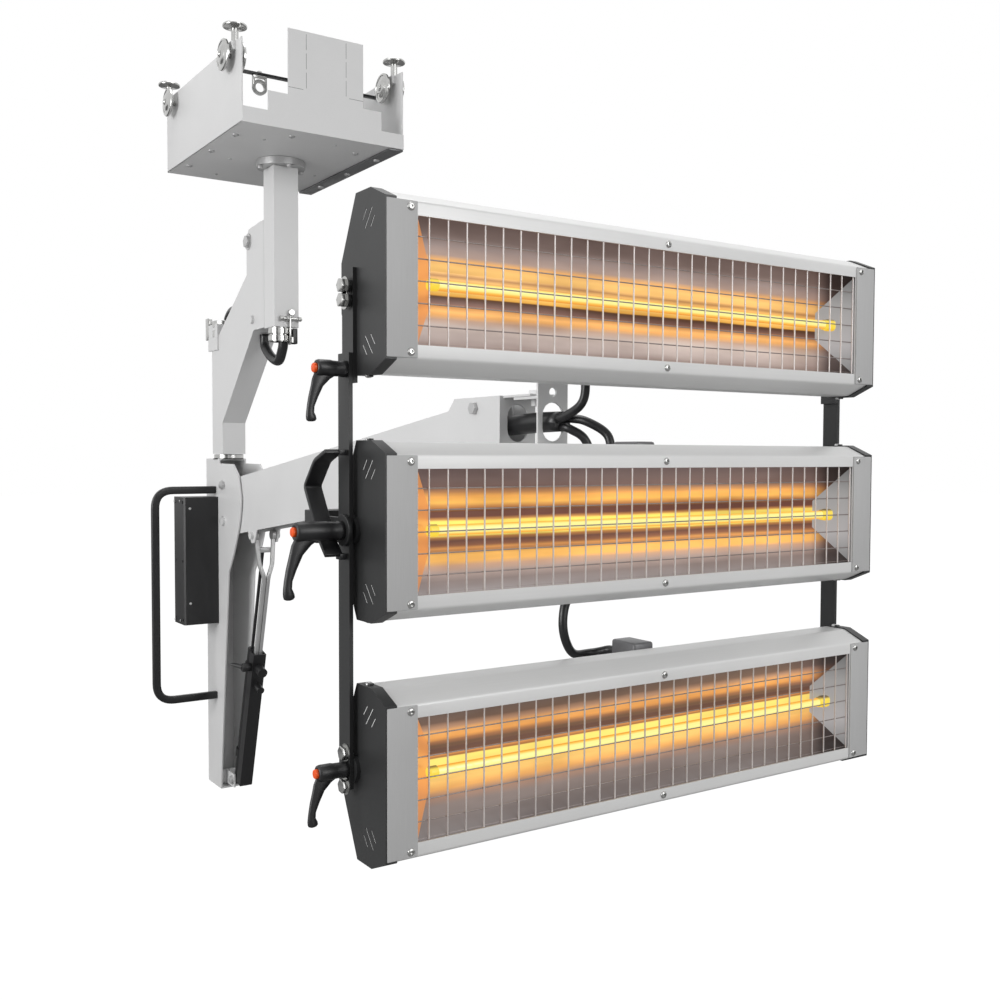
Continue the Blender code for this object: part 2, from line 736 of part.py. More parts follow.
# rail wheels and guide rollers
for side, side_name in ((-1, "left"), (1, "right")):
    for end, end_name in ((-1, "front"), (1, "rear")):
        middle = side * (BOX_HALF_X - SHEET / 2)
        guide_y = GUIDE_FRONT_Y if end < 0 else GUIDE_REAR_Y
        reach = SHEET / 2 + WHEEL_STANDOFF
        profile = [
            (AXLE_RADIUS, -reach - WHEEL_WIDTH - WHEEL_DISH),
            (WHEEL_HUB_RADIUS, -reach - WHEEL_WIDTH),
            (WHEEL_RIM_RADIUS, -reach - WHEEL_WIDTH + WHEEL_DISH),
            (WHEEL_RADIUS, -reach - WHEEL_WIDTH),
            (WHEEL_RADIUS, -reach),
            (AXLE_RADIUS, -reach),
        ]
        profile += [(radius, -place) for radius, place in reversed(profile)]
        turned = [(radius, middle + place) for radius, place in profile]
        node(
            f"rail_wheel_{end_name}_{side_name}", ZINC, (middle, end * WHEEL_Y, WHEEL_Z),
            [lathe("x", end * WHEEL_Y, WHEEL_Z, turned)],
        )
        profile = [
            (GUIDE_PIN_RADIUS, BOX_TOP - GUIDE_PIN_LENGTH),
            (GUIDE_PIN_RADIUS, BOX_TOP + GAP),
            (GUIDE_STEM_RADIUS, BOX_TOP + GAP),
            (GUIDE_STEM_RADIUS, GUIDE_HEAD_BOTTOM),
            (GUIDE_HEAD_RADIUS, GUIDE_HEAD_BOTTOM + GUIDE_EDGE_HEIGHT / 3),
            (GUIDE_HEAD_RADIUS, GUIDE_HEAD_BOTTOM + GUIDE_EDGE_HEIGHT),
            (GUIDE_HEAD_RADIUS * 0.7, GUIDE_HEAD_BOTTOM + GUIDE_DOME_HEIGHT * 0.85),
            (GUIDE_HEAD_RADIUS * 0.2, GUIDE_HEAD_BOTTOM + GUIDE_DOME_HEIGHT),
        ]
        node(
            f"guide_roller_{end_name}_{side_name}", ZINC, (middle, guide_y, BOX_TOP),
            [lathe("z", middle, guide_y, profile)],
        )

# turning flange bolted under the trolley
flange_top = BOX_BOTTOM - GAP
flange_bottom = flange_top - FLANGE_HEIGHT
solids = [disc("z", 0, 0, FLANGE_RADIUS, flange_bottom, flange_top)]
for i in range(FLANGE_BOLTS):
    turn = math.tau * i / FLANGE_BOLTS
    solids.append(disc(
        "z", FLANGE_BOLT_CIRCLE * math.cos(turn), FLANGE_BOLT_CIRCLE * math.sin(turn), FLANGE_BOLT_RADIUS,
        flange_bottom - FLANGE_BOLT_HEIGHT, flange_bottom + LAP, SMALL_SIDES,
    ))
node(
    "swivel_flange", ZINC, (0, 0, flange_top), solids,
    [disc("z", 0, 0, SPIGOT_BORE_RADIUS, flange_bottom - LAP, flange_top + LAP)],
)

# square column with the spigot it turns on
spigot_top = BOX_BOTTOM + SHEET + GAP
inner = COLUMN_HALF - COLUMN_WALL
node(
    "column_tube", PAINT, (0, 0, COLUMN_TOP),
    [
        block((-COLUMN_HALF, COLUMN_HALF), (-COLUMN_HALF, COLUMN_HALF), (COLUMN_BOTTOM, COLUMN_TOP)),
        disc("z", 0, 0, SPIGOT_RADIUS, COLUMN_TOP - LAP, spigot_top + LAP),
        disc("z", 0, 0, SPIGOT_HEAD_RADIUS, spigot_top, spigot_top + SPIGOT_HEAD_HEIGHT),
    ],
    [block((-inner, inner), (-inner, inner), (COLUMN_BOTTOM - LAP, COLUMN_TOP - COLUMN_COLLAR_HEIGHT))],
)


def longer(route):
    """The route with both of its ends moved out by the fit's gap."""
    first = route[0] + (route[0] - route[1]).normalized() * GAP
    last = route[-1] + (route[-1] - route[-2]).normalized() * GAP
    return [first, *route[1:-1], last]


# hose from the column's foot into the crank, and the loop behind the crank
column_route = led_route([
    Vector((0, COLUMN_HOSE_Y, COLUMN_HOSE_TOP)),
    Vector((0, COLUMN_HOSE_Y, CLAMP_BOTTOM - CLAMP_SCREW_HEIGHT)),
    Vector((0, (COLUMN_HOSE_Y * 3 + COLUMN_HOSE_MID_Y) / 4, COLUMN_HOSE_SIDE_Z)),
    Vector((0, COLUMN_HOSE_MID_Y, COLUMN_HOSE_LOW)),
    Vector((0, COLUMN_HOSE_RISE_Y, COLUMN_HOSE_RISE_Z)),
    Vector((0, COLUMN_HOSE_END_Y - LAP, (COLUMN_HOSE_RISE_Z + COLUMN_HOSE_END_Z) / 2)),
    Vector((0, COLUMN_HOSE_END_Y, COLUMN_HOSE_END_Z)),
], HOSE_BEND_STEPS)
loop_route = led_route([
    Vector((0, LOOP_FRONT_Y, LOOP_FRONT_Z)),
    Vector((0, LOOP_RISE_Y, LOOP_RISE_Z)),
    Vector((0, LOOP_TOP_Y, LOOP_TOP_Z)),
    Vector((0, LOOP_REAR_Y, LOOP_REAR_Z)),
    Vector((0, LOOP_DOWN_Y, LOOP_DOWN_Z)),
    Vector((0, LOOP_DOWN_Y, LOOP_END_Z)),
], HOSE_BEND_STEPS)
node("column_hose", RUBBER, (0, COLUMN_HOSE_Y, COLUMN_BOTTOM), [hose(column_route, HOSE_RADIUS)])
node("crank_hose", RUBBER, (0, LOOP_DOWN_Y, LOOP_DOWN_Z), [hose(loop_route, HOSE_RADIUS)])

# clamp that holds the hose under the column
solids = [block(
    (-CLAMP_HALF_X, CLAMP_HALF_X),
    (COLUMN_HOSE_Y - CLAMP_HALF_Y, COLUMN_HOSE_Y + CLAMP_HALF_Y),
    (CLAMP_BOTTOM, COLUMN_BOTTOM - GAP),
)]
for side in (-1, 1):
    solids.append(disc(
        "z", side * CLAMP_SCREW_X, COLUMN_HOSE_Y, CLAMP_SCREW_RADIUS,
        CLAMP_BOTTOM - CLAMP_SCREW_HEIGHT, CLAMP_BOTTOM + LAP, SMALL_SIDES,
    ))
node(
    "foot_clamp", ZINC, (0, COLUMN_HOSE_Y, COLUMN_BOTTOM), solids,
    [disc("z", 0, COLUMN_HOSE_Y, HOSE_RADIUS + GAP, CLAMP_BOTTOM - LAP, COLUMN_BOTTOM)],
)

# crank with the clamp of the rear loop
outline = [
    (COLUMN_HALF + GAP, CRANK_HEAD_Z), (CRANK_HEAD_Y, CRANK_HEAD_Z), (CRANK_SHOULDER_Y, CRANK_SHOULDER_Z),
    (CRANK_BACK_Y, CRANK_BACK_TOP_Z), (CRANK_BACK_Y, CRANK_BACK_BOTTOM_Z), (CRANK_REAR_Y, CRANK_REAR_TOP_Z),
    (CRANK_REAR_Y, CRANK_FOOT_Z), (CRANK_FRONT_Y, CRANK_FOOT_Z), (CRANK_FRONT_Y, CRANK_KNEE_Z),
    (CRANK_CHIN_Y, CRANK_CHIN_Z), (COLUMN_HALF + GAP, CRANK_CHIN_Z),
]
solids = [
    prism("x", outline, -COLUMN_HALF, COLUMN_HALF),
    block(
        (-LOOP_CLAMP_HALF_X, LOOP_CLAMP_HALF_X),
        (LOOP_CLAMP_FRONT_Y, LOOP_CLAMP_REAR_Y),
        (LOOP_CLAMP_BOTTOM, LOOP_CLAMP_TOP),
    ),
    block(
        (-LOOP_CLAMP_HALF_X, -LOOP_CLAMP_HALF_X + CLAMP_SCREW_HEIGHT),
        (LOOP_CLAMP_FRONT_Y, LOOP_CLAMP_REAR_Y),
        (CRANK_REAR_TOP_Z - SHEET, LOOP_CLAMP_TOP),
    ),
    block(
        (LOOP_CLAMP_HALF_X - CLAMP_SCREW_HEIGHT, LOOP_CLAMP_HALF_X),
        (LOOP_CLAMP_FRONT_Y, LOOP_CLAMP_REAR_Y),
        (CRANK_REAR_TOP_Z - SHEET, LOOP_CLAMP_TOP),
    ),
]
for y, z in ((CRANK_BOLT_HIGH_Y, CRANK_BOLT_HIGH_Z), (CRANK_BOLT_LOW_Y, CRANK_BOLT_LOW_Z)):
    solids.append(disc(
        "x", y, z, CRANK_BOLT_RADIUS,
        -COLUMN_HALF - CRANK_BOLT_HEIGHT, COLUMN_HALF + CRANK_BOLT_HEIGHT, HEX_SIDES * 2,
    ))
wall = CRANK_WALL
hollow = [
    (COLUMN_HALF + wall * 2, CRANK_SHOULDER_Z - wall), (CRANK_SHOULDER_Y - wall, CRANK_SHOULDER_Z - wall * 2),
    (CRANK_BACK_Y - wall, CRANK_BACK_TOP_Z - wall), (CRANK_BACK_Y - wall, CRANK_BACK_BOTTOM_Z - wall),
    (CRANK_REAR_Y - wall, CRANK_REAR_TOP_Z - wall), (CRANK_REAR_Y - wall, CRANK_FOOT_Z + POST_SPIGOT_LENGTH),
    (CRANK_FRONT_Y + wall, CRANK_FOOT_Z + POST_SPIGOT_LENGTH), (CRANK_FRONT_Y + wall, CRANK_KNEE_Z + wall),
    (CRANK_CHIN_Y + wall, CRANK_CHIN_Z + wall), (COLUMN_HALF + wall * 2, CRANK_CHIN_Z + wall),
]
cuts = [
    prism("x", hollow, -COLUMN_HALF + wall, COLUMN_HALF - wall),
    disc(
        "z", 0, POST_AXIS_Y, POST_BORE_RADIUS,
        CRANK_FOOT_Z - LAP, CRANK_FOOT_Z + POST_SPIGOT_LENGTH + LAP,
    ),
    hose(longer(column_route), HOSE_RADIUS + GAP * 2),
    hose(longer(loop_route), HOSE_RADIUS + GAP * 2),
]
node("crank_beam", PAINT, (0, POST_AXIS_Y, CRANK_FOOT_Z), solids, cuts)

# post: two cheeks, a back and a top, with the lower pin and the clevis for the strut
curve = []
for i in range(CHEEK_CURVE_STEPS + 1):
    t = i / CHEEK_CURVE_STEPS
    curve.append((
        CHEEK_FRONT_Y + (CHEEK_CURVE_Y - CHEEK_FRONT_Y) * t**1.7,
        CHEEK_FRONT_Z + (CHEEK_CURVE_Z - CHEEK_FRONT_Z) * t,
    ))
outline = [
    (POST_REAR_Y, POST_TOP), (POST_FRONT_Y, POST_TOP), (POST_FRONT_Y, CHEEK_TOP + LAP),
    (CHEEK_NOSE_Y, CHEEK_TOP),
    ((CHEEK_NOSE_Y + CHEEK_FRONT_Y * 2) / 3, (CHEEK_TOP * 2 + CHEEK_FRONT_Z) / 3),
    *curve,
    (POST_FRONT_Y, POST_BOTTOM + POST_WALL * 5), (POST_FRONT_Y, POST_BOTTOM), (POST_REAR_Y, POST_BOTTOM),
]
hollow = POST_HALF - POST_WALL
clevis_low = FOOT_Z - CLEVIS_HEIGHT / 2
clevis_high = FOOT_Z + CLEVIS_HEIGHT / 2
channel = combine(
    prism("x", outline, -POST_HALF, POST_HALF),
    [block(
        (-hollow, hollow),
        (CHEEK_FRONT_Y - LAP, POST_REAR_Y - POST_WALL),
        (POST_BOTTOM + POST_WALL, POST_TOP - POST_WALL),
    )],
    "DIFFERENCE",
)
solids = [
    channel,
    disc("z", 0, POST_AXIS_Y, POST_RING_RADIUS - LAP, POST_TOP - LAP, CRANK_FOOT_Z - GAP),
    disc("z", 0, POST_AXIS_Y, POST_SPIGOT_RADIUS, POST_TOP - LAP, CRANK_FOOT_Z + POST_SPIGOT_LENGTH),
    disc("x", PIVOT_Y, PIVOT_Z - LINK_DROP, LINK_PIN_RADIUS, -POST_HALF, POST_HALF),
    block((-hollow - LAP, hollow + LAP), (CLEVIS_WEB_Y, CLEVIS_WEB_Y + POST_WALL), (clevis_low, clevis_high)),
    disc("x", FOOT_Y, FOOT_Z, CLEVIS_PIN_RADIUS, -CLEVIS_HALF, CLEVIS_HALF),
]
for side in (-1, 1):
    head = sorted((side * (POST_HALF - LAP), side * (POST_HALF + PIVOT_HEAD_HEIGHT)))
    solids.append(disc("x", PIVOT_Y, PIVOT_Z - LINK_DROP, PIVOT_HEAD_RADIUS, *head, HEX_SIDES * 2))
    ear = sorted((side * (CLEVIS_HALF - CLEVIS_WALL), side * CLEVIS_HALF))
    solids.append(block(ear, (FOOT_Y - CLEVIS_NOSE, CLEVIS_WEB_Y + LAP), (clevis_low, clevis_high)))
    nut = sorted((side * (CLEVIS_HALF - LAP), side * (CLEVIS_HALF + CRANK_BOLT_HEIGHT / 2)))
    solids.append(disc("x", FOOT_Y, FOOT_Z, CAP_SCREW_RADIUS * 2, *nut, HEX_SIDES))
node(
    "post_frame", PAINT, (0, POST_AXIS_Y, CRANK_FOOT_Z), solids,
    [disc("x", PIVOT_Y, PIVOT_Z, PIVOT_BOLT_RADIUS + GAP, -POST_HALF - LAP, POST_HALF + LAP)],
)

# bolt through the cheeks and the arm
def through_bolt(name, y, z, half):
    solids = [disc("x", y, z, PIVOT_BOLT_RADIUS, -half - GAP - LAP, half + GAP + LAP)]
    for side in (-1, 1):
        head = sorted((side * (half + GAP), side * (half + GAP + PIVOT_HEAD_HEIGHT)))
        solids.append(disc("x", y, z, PIVOT_HEAD_RADIUS, *head, HEX_SIDES))
    node(name, ZINC, (0, y, z), solids)


through_bolt("upper_pivot_bolt", PIVOT_Y, PIVOT_Z, POST_HALF)
through_bolt("wrist_bolt", WRIST_Y, WRIST_Z, WRIST_HALF)

# arm, a channel open underneath, with the lug for the strut
front_cut = ARM_LENGTH - ARM_FRONT_CUT
outline = [
    (ARM_REAR, ARM_TOP), (ARM_LENGTH + ARM_NOSE, ARM_TOP), (ARM_LENGTH + ARM_NOSE, ARM_EAR_HEIGHT),
    (front_cut + ARM_CUT_RISE, ARM_EAR_HEIGHT * 2), (front_cut, ARM_CUT_HEIGHT),
    (front_cut - ARM_CUT_RISE, ARM_BOTTOM),
    (ARM_REAR_CUT, ARM_BOTTOM), (ARM_REAR_CUT, ARM_CUT_HEIGHT),
    (ARM_REAR_CUT - ARM_CUT_RISE, ARM_EAR_HEIGHT * 1.6),
    (ARM_REAR, ARM_EAR_HEIGHT),
]
lug_along = (PIVOT_Y - LUG_Y) * math.cos(ARM_ANGLE) + (LUG_Z - PIVOT_Z) * math.sin(ARM_ANGLE)
lug_height = (LUG_Y - PIVOT_Y) * math.sin(ARM_ANGLE) + (LUG_Z - PIVOT_Z) * math.cos(ARM_ANGLE)
lug = [
    (lug_along - LUG_HALF_LENGTH, ARM_BOTTOM + LAP), (lug_along - LUG_NOSE / 2, lug_height - LUG_NOSE),
    (lug_along + LUG_NOSE / 2, lug_height - LUG_NOSE), (lug_along + LUG_HALF_LENGTH, ARM_BOTTOM + LAP),
]
inside = [
    (ARM_REAR - ARM_NOSE, ARM_TOP - ARM_WALL), (ARM_LENGTH + ARM_NOSE * 2, ARM_TOP - ARM_WALL),
    (ARM_LENGTH + ARM_NOSE * 2, ARM_BOTTOM * 2), (ARM_REAR - ARM_NOSE, ARM_BOTTOM * 2),
]
inner = ARM_HALF - ARM_WALL
solids = [
    prism("x", [arm_place(*p) for p in outline], -ARM_HALF, ARM_HALF),
    prism("x", [arm_place(*p) for p in lug], -ARM_HALF, ARM_HALF),
]
arm = combine(solids[0], solids[1:], "UNION")
arm = combine(arm, [prism("x", [arm_place(*p) for p in inside], -inner, inner)], "DIFFERENCE")
solids = [arm]
for side in (-1, 1):
    head = sorted((side * (ARM_HALF - LAP), side * (ARM_HALF + LUG_BOLT_HEIGHT)))
    solids.append(disc("x", LUG_Y, LUG_Z, LUG_BOLT_RADIUS, *head, HEX_SIDES * 2))
node(
    "arm_beam", PAINT, (0, PIVOT_Y, PIVOT_Z), solids,
    [
        disc("x", PIVOT_Y, PIVOT_Z, PIVOT_BOLT_RADIUS + GAP, -POST_HALF, POST_HALF),
        disc("x", WRIST_Y, WRIST_Z, PIVOT_BOLT_RADIUS + GAP, -POST_HALF, POST_HALF),
    ],
)

# link that keeps the wrist level, inside the arm
low_y, low_z = PIVOT_Y, PIVOT_Z - LINK_DROP
high_y, high_z = WRIST_Y, WRIST_Z - LINK_DROP
flat = [
    (low_y + LINK_HALF_HEIGHT * math.sin(ARM_ANGLE), low_z + LINK_HALF_HEIGHT * math.cos(ARM_ANGLE)),
    (high_y + LINK_HALF_HEIGHT * math.sin(ARM_ANGLE), high_z + LINK_HALF_HEIGHT * math.cos(ARM_ANGLE)),
    (high_y - LINK_HALF_HEIGHT * math.sin(ARM_ANGLE), high_z - LINK_HALF_HEIGHT * math.cos(ARM_ANGLE)),
    (low_y - LINK_HALF_HEIGHT * math.sin(ARM_ANGLE), low_z - LINK_HALF_HEIGHT * math.cos(ARM_ANGLE)),
]
node(
    "level_link", ZINC, (0, low_y, low_z),
    [
        prism("x", flat, -LINK_HALF_WIDTH, LINK_HALF_WIDTH),
        disc("x", low_y, low_z, LINK_EYE_RADIUS + LAP, -LINK_HALF_WIDTH, LINK_HALF_WIDTH),
        disc("x", high_y, high_z, LINK_EYE_RADIUS + LAP, -LINK_HALF_WIDTH, LINK_HALF_WIDTH),
    ],
    [
        disc("x", low_y, low_z, LINK_PIN_RADIUS + GAP, -ARM_HALF, ARM_HALF),
        disc("x", high_y, high_z, LINK_PIN_RADIUS + GAP, -ARM_HALF, ARM_HALF),
    ],
)

# gas spring
eye_half = CLEVIS_HALF - CLEVIS_WALL - GAP
node(
    "gas_cylinder", BLACK, (0, FOOT_Y, FOOT_Z),
    [
        rod(strut_place(0), strut_place(CYLINDER_END_SHARE), CYLINDER_RADIUS),
        disc("x", FOOT_Y, FOOT_Z, FOOT_EYE_RADIUS, -eye_half, eye_half),
    ],
    [
        disc("x", FOOT_Y, FOOT_Z, CLEVIS_PIN_RADIUS + GAP, -CLEVIS_HALF, CLEVIS_HALF),
        rod(strut_place(CYLINDER_BORE_SHARE), strut_place(CYLINDER_END_SHARE + LAP), ROD_RADIUS + GAP),
    ],
)
rod_end = strut_place(HEAD_BRIDGE_SHARE) - STRUT_WAY * (HEAD_BRIDGE_LENGTH / 2 + GAP)
node(
    "gas_rod", ZINC, (0, FOOT_Y, FOOT_Z),
    [rod(strut_place(ROD_START_SHARE), rod_end, ROD_RADIUS)],
)


def strut_box(half_x, half_depth, start, end, offset):
    """A box along the strut, between two places on it."""
    corner = STRUT_SIDE * half_depth
    low = start + STRUT_SIDE * offset
    high = end + STRUT_SIDE * offset
    points = [low - corner, low + corner, high + corner, high - corner]
    return prism("x", [(p.y, p.z) for p in points], -half_x, half_x)


# locking strut: a square tube banded to the gas spring
offset = STRUT_OFFSET
start = strut_place(STRUT_START_SHARE)
end = strut_place(STRUT_END_SHARE)
tube = combine(
    strut_box(STRUT_HALF_WIDTH, STRUT_HALF_DEPTH, start, end, offset),
    [strut_box(
        STRUT_HALF_WIDTH - STRUT_WALL, STRUT_HALF_DEPTH - STRUT_WALL,
        start - STRUT_WAY * LAP, end + STRUT_WAY * LAP, offset,
    )],
    "DIFFERENCE",
)
solids = [tube]
cuts = []
for share in (STRUT_BAND_LOW_SHARE, STRUT_BAND_HIGH_SHARE):
    band = strut_place(share)
    half = STRUT_WAY * STRUT_BAND_LENGTH / 2
    solids.append(rod(band - half, band + half, CYLINDER_RADIUS + STRUT_BAND_WALL))
    near = CYLINDER_RADIUS + GAP
    far = STRUT_OFFSET - STRUT_HALF_DEPTH + STRUT_WALL / 2
    solids.append(strut_box(CYLINDER_RADIUS / 2, (far - near) / 2, band - half, band + half, (far + near) / 2))
    cuts.append(rod(band - half * 2, band + half * 2, CYLINDER_RADIUS + GAP))
lock = strut_place(LOCK_SHARE, STRUT_OFFSET)
cuts.append(disc("x", lock.y, lock.z, LOCK_PIN_RADIUS + GAP, -STRUT_HALF_WIDTH - LAP, 0))
knob = strut_place(KNOB_SHARE, STRUT_OFFSET)
solids.append(rod(
    knob + STRUT_SIDE * (STRUT_HALF_DEPTH - LAP), knob + STRUT_SIDE * (STRUT_HALF_DEPTH + KNOB_LENGTH), KNOB_RADIUS,
))
solids.append(rod(
    lock + STRUT_SIDE * (STRUT_HALF_DEPTH - LAP), lock + STRUT_SIDE * (STRUT_HALF_DEPTH + KNOB_LENGTH), LOCK_KNOB_RADIUS,
))
node("strut_tube", DARK, (0, FOOT_Y, FOOT_Z), solids, cuts)

# forked rods that slide in the tube and carry the head block at the lug
bridge = strut_place(HEAD_BRIDGE_SHARE)
half = STRUT_WAY * HEAD_BRIDGE_LENGTH / 2
ear_outer = ARM_HALF - ARM_WALL - GAP
ear_inner = TINE_X + TINE_RADIUS * 2
solids = [strut_box(ear_outer, STRUT_OFFSET / 2 + HEAD_BLOCK_RADIUS, bridge - half, bridge + half, STRUT_OFFSET / 2)]
for side in (-1, 1):
    ear = sorted((side * ear_inner, side * ear_outer))
    solids.append(disc("x", LUG_Y, LUG_Z, HEAD_BLOCK_RADIUS, *ear))
    solids.append(block(ear, (LUG_Y - HEAD_BLOCK_RADIUS, LUG_Y + HEAD_BLOCK_RADIUS * 1.6), (bridge.z, LUG_Z)))
    solids.append(rod(
        strut_place(TINE_START_SHARE, STRUT_OFFSET, side * TINE_X),
        strut_place(HEAD_BRIDGE_SHARE, STRUT_OFFSET, side * TINE_X),
        TINE_RADIUS,
    ))
node("strut_rod", ZINC, (0, FOOT_Y, FOOT_Z), solids)

# clamp lever on the strut
hub_start = -STRUT_HALF_WIDTH - GAP
lever_x = hub_start - LOCK_HUB_LENGTH + LOCK_ARM_RADIUS
lever_end = Vector((lever_x, lock.y, lock.z)) - STRUT_SIDE * LOCK_ARM_LENGTH
lever_end -= STRUT_WAY * LOCK_ARM_LENGTH * LOCK_DROP_SHARE
node(
    "strut_lever", BLACK, (hub_start, lock.y, lock.z),
    [
        disc("x", lock.y, lock.z, LOCK_HUB_RADIUS, hub_start - LOCK_HUB_LENGTH, hub_start),
        disc("x", lock.y, lock.z, LOCK_PIN_RADIUS, hub_start - LAP, -STRUT_HALF_WIDTH + STRUT_WALL),
        rod(Vector((lever_x, lock.y, lock.z)), lever_end, LOCK_ARM_RADIUS, SMALL_SIDES),
    ],
)

# grab handle on the post's side
foot_x = -POST_HALF - GAP
corner = []
for i in range(HOSE_BEND_STEPS + 1):
    t = math.pi / 2 * i / HOSE_BEND_STEPS
    corner.append((GRAB_CORNER * (1 - math.sin(t)), GRAB_CORNER * (1 - math.cos(t))))
route = [Vector((foot_x, POST_AXIS_Y, GRAB_TOP))]
route += [Vector((GRAB_X + a, POST_AXIS_Y, GRAB_TOP - b)) for a, b in corner]
route += [Vector((GRAB_X + a, POST_AXIS_Y, GRAB_BOTTOM + b)) for a, b in reversed(corner)]
route.append(Vector((foot_x, POST_AXIS_Y, GRAB_BOTTOM)))
node(
    "grab_handle", BLACK, (foot_x, POST_AXIS_Y, GRAB_TOP),
    [
        hose(route, GRAB_RADIUS),
        disc("x", POST_AXIS_Y, GRAB_TOP, GRAB_FOOT_RADIUS * 0.85, foot_x - GRAB_FOOT_LENGTH, foot_x),
        disc("x", POST_AXIS_Y, GRAB_BOTTOM, GRAB_FOOT_RADIUS, foot_x - GRAB_FOOT_LENGTH, foot_x),
    ],
)

# control box beside the post
left = CONTROL_LEFT
edge = CONTROL_EDGE
outline = [
    (left, CONTROL_FRONT_Y + edge), (left + edge, CONTROL_FRONT_Y), (foot_x, CONTROL_FRONT_Y),
    (foot_x, CONTROL_REAR_Y), (left + edge, CONTROL_REAR_Y), (left, CONTROL_REAR_Y - edge),
]
solids = [prism("z", outline, CONTROL_BOTTOM, CONTROL_TOP)]
screw_rows = (
    CONTROL_BOTTOM + CONTROL_SCREW_INSET, (CONTROL_BOTTOM + CONTROL_TOP) / 2, CONTROL_TOP - CONTROL_SCREW_INSET,
)
for y in (CONTROL_FRONT_Y + CONTROL_SCREW_INSET, CONTROL_REAR_Y - CONTROL_SCREW_INSET):
    for z in screw_rows:
        reach = (left - CONTROL_SCREW_HEIGHT, left + LAP)
        solids.append(disc("x", y, z, CONTROL_SCREW_RADIUS, *reach, SMALL_SIDES))
node("control_box", BLACK, (foot_x, POST_AXIS_Y, (CONTROL_TOP + CONTROL_BOTTOM) / 2), solids)

# wrist: two cheeks, the plate with the cable hole, and the shelves of the swivel
corner = WRIST_CORNER
outline = [
    (WRIST_PLATE_Y, WRIST_BOTTOM), (WRIST_BACK_Y - corner, WRIST_BOTTOM), (WRIST_BACK_Y, WRIST_BOTTOM + corner),
    (WRIST_BACK_Y, WRIST_TOP - corner), (WRIST_BACK_Y - corner, WRIST_TOP), (WRIST_PLATE_Y, WRIST_TOP),
]
inner = WRIST_HALF - WRIST_CHEEK
cheeks = combine(
    prism("x", outline, -WRIST_HALF, WRIST_HALF),
    [block((-inner, inner), (WRIST_PLATE_Y + WRIST_CHEEK, WRIST_BACK_Y + LAP), (WRIST_BOTTOM - LAP, WRIST_TOP + LAP))],
    "DIFFERENCE",
)
high_shelf = WRIST_TOP - WRIST_SHELF
low_shelf = WRIST_BOTTOM + WRIST_SHELF
solids = [
    cheeks,
    block((-BRACKET_HALF, BRACKET_HALF), (WRIST_SHELF_Y, WRIST_PLATE_Y + LAP), (high_shelf, WRIST_TOP)),
    block((-BRACKET_HALF, BRACKET_HALF), (WRIST_SHELF_Y, WRIST_PLATE_Y + LAP), (WRIST_BOTTOM, low_shelf)),
    disc("z", 0, SWIVEL_Y, SWIVEL_PIN_RADIUS, high_shelf - SWIVEL_PIN_LENGTH, high_shelf + LAP),
    disc("z", 0, SWIVEL_Y, SWIVEL_PIN_RADIUS, low_shelf - LAP, low_shelf + SWIVEL_PIN_LENGTH),
    disc("z", 0, SWIVEL_Y, SWIVEL_HEAD_RADIUS, WRIST_TOP - LAP, WRIST_TOP + SWIVEL_HEAD_HEIGHT, HEX_SIDES),
    disc("x", high_y, high_z, LINK_PIN_RADIUS, -WRIST_HALF, WRIST_HALF),
]
for side in (-1, 1):
    head = sorted((side * (WRIST_HALF - LAP), side * (WRIST_HALF + PIVOT_HEAD_HEIGHT)))
    solids.append(disc("x", high_y, high_z, PIVOT_HEAD_RADIUS, *head, HEX_SIDES))
node(
    "wrist_bracket", PAINT, (0, WRIST_Y, WRIST_Z), solids,
    [
        disc("x", WRIST_Y, WRIST_Z, PIVOT_BOLT_RADIUS + GAP, -WRIST_HALF - LAP, WRIST_HALF + LAP),
        slotted(
            "y", 0, CABLE_HOLE_BOTTOM, CABLE_HOLE_TOP, CABLE_HOLE_RADIUS,
            WRIST_PLATE_Y - LAP, WRIST_PLATE_Y + WRIST_CHEEK + LAP,
        ),
    ],
)

# head bracket, turning on the wrist's two short pins
plate_rear = BRACKET_PLATE_Y + BRACKET_PLATE
beam_face = YOKE_BEAM_REAR_Y + GAP
solids = [
    block((-BRACKET_HALF, BRACKET_HALF), (BRACKET_PLATE_Y, plate_rear), (BRACKET_BOTTOM, BRACKET_TOP)),
    block(
        (-BRACKET_HALF, BRACKET_HALF), (beam_face, BRACKET_PLATE_Y + LAP),
        (HEAD_Z - YOKE_BEAM_HALF, HEAD_Z + YOKE_BEAM_HALF),
    ),
]
cuts = [
    slotted(
        "y", 0, CABLE_HOLE_BOTTOM, CABLE_HOLE_TOP, CABLE_HOLE_RADIUS,
        BRACKET_PLATE_Y - LAP, plate_rear + LAP,
    ),
    disc("y", 0, BRACKET_HOLE_Z, BRACKET_HOLE_RADIUS, BRACKET_PLATE_Y - LAP, plate_rear + LAP),
]
shelf_high = high_shelf - GAP
shelf_low = low_shelf + GAP
for low, high in ((shelf_high - WRIST_SHELF, shelf_high), (shelf_low, shelf_low + WRIST_SHELF)):
    solids.append(block((-BRACKET_HALF, BRACKET_HALF), (plate_rear - LAP, BRACKET_SHELF_Y), (low, high)))
    cuts.append(disc("z", 0, SWIVEL_Y, SWIVEL_PIN_RADIUS + GAP, low - LAP, high + LAP))
node("head_bracket", PAINT, (0, SWIVEL_Y, HEAD_Z), solids, cuts)

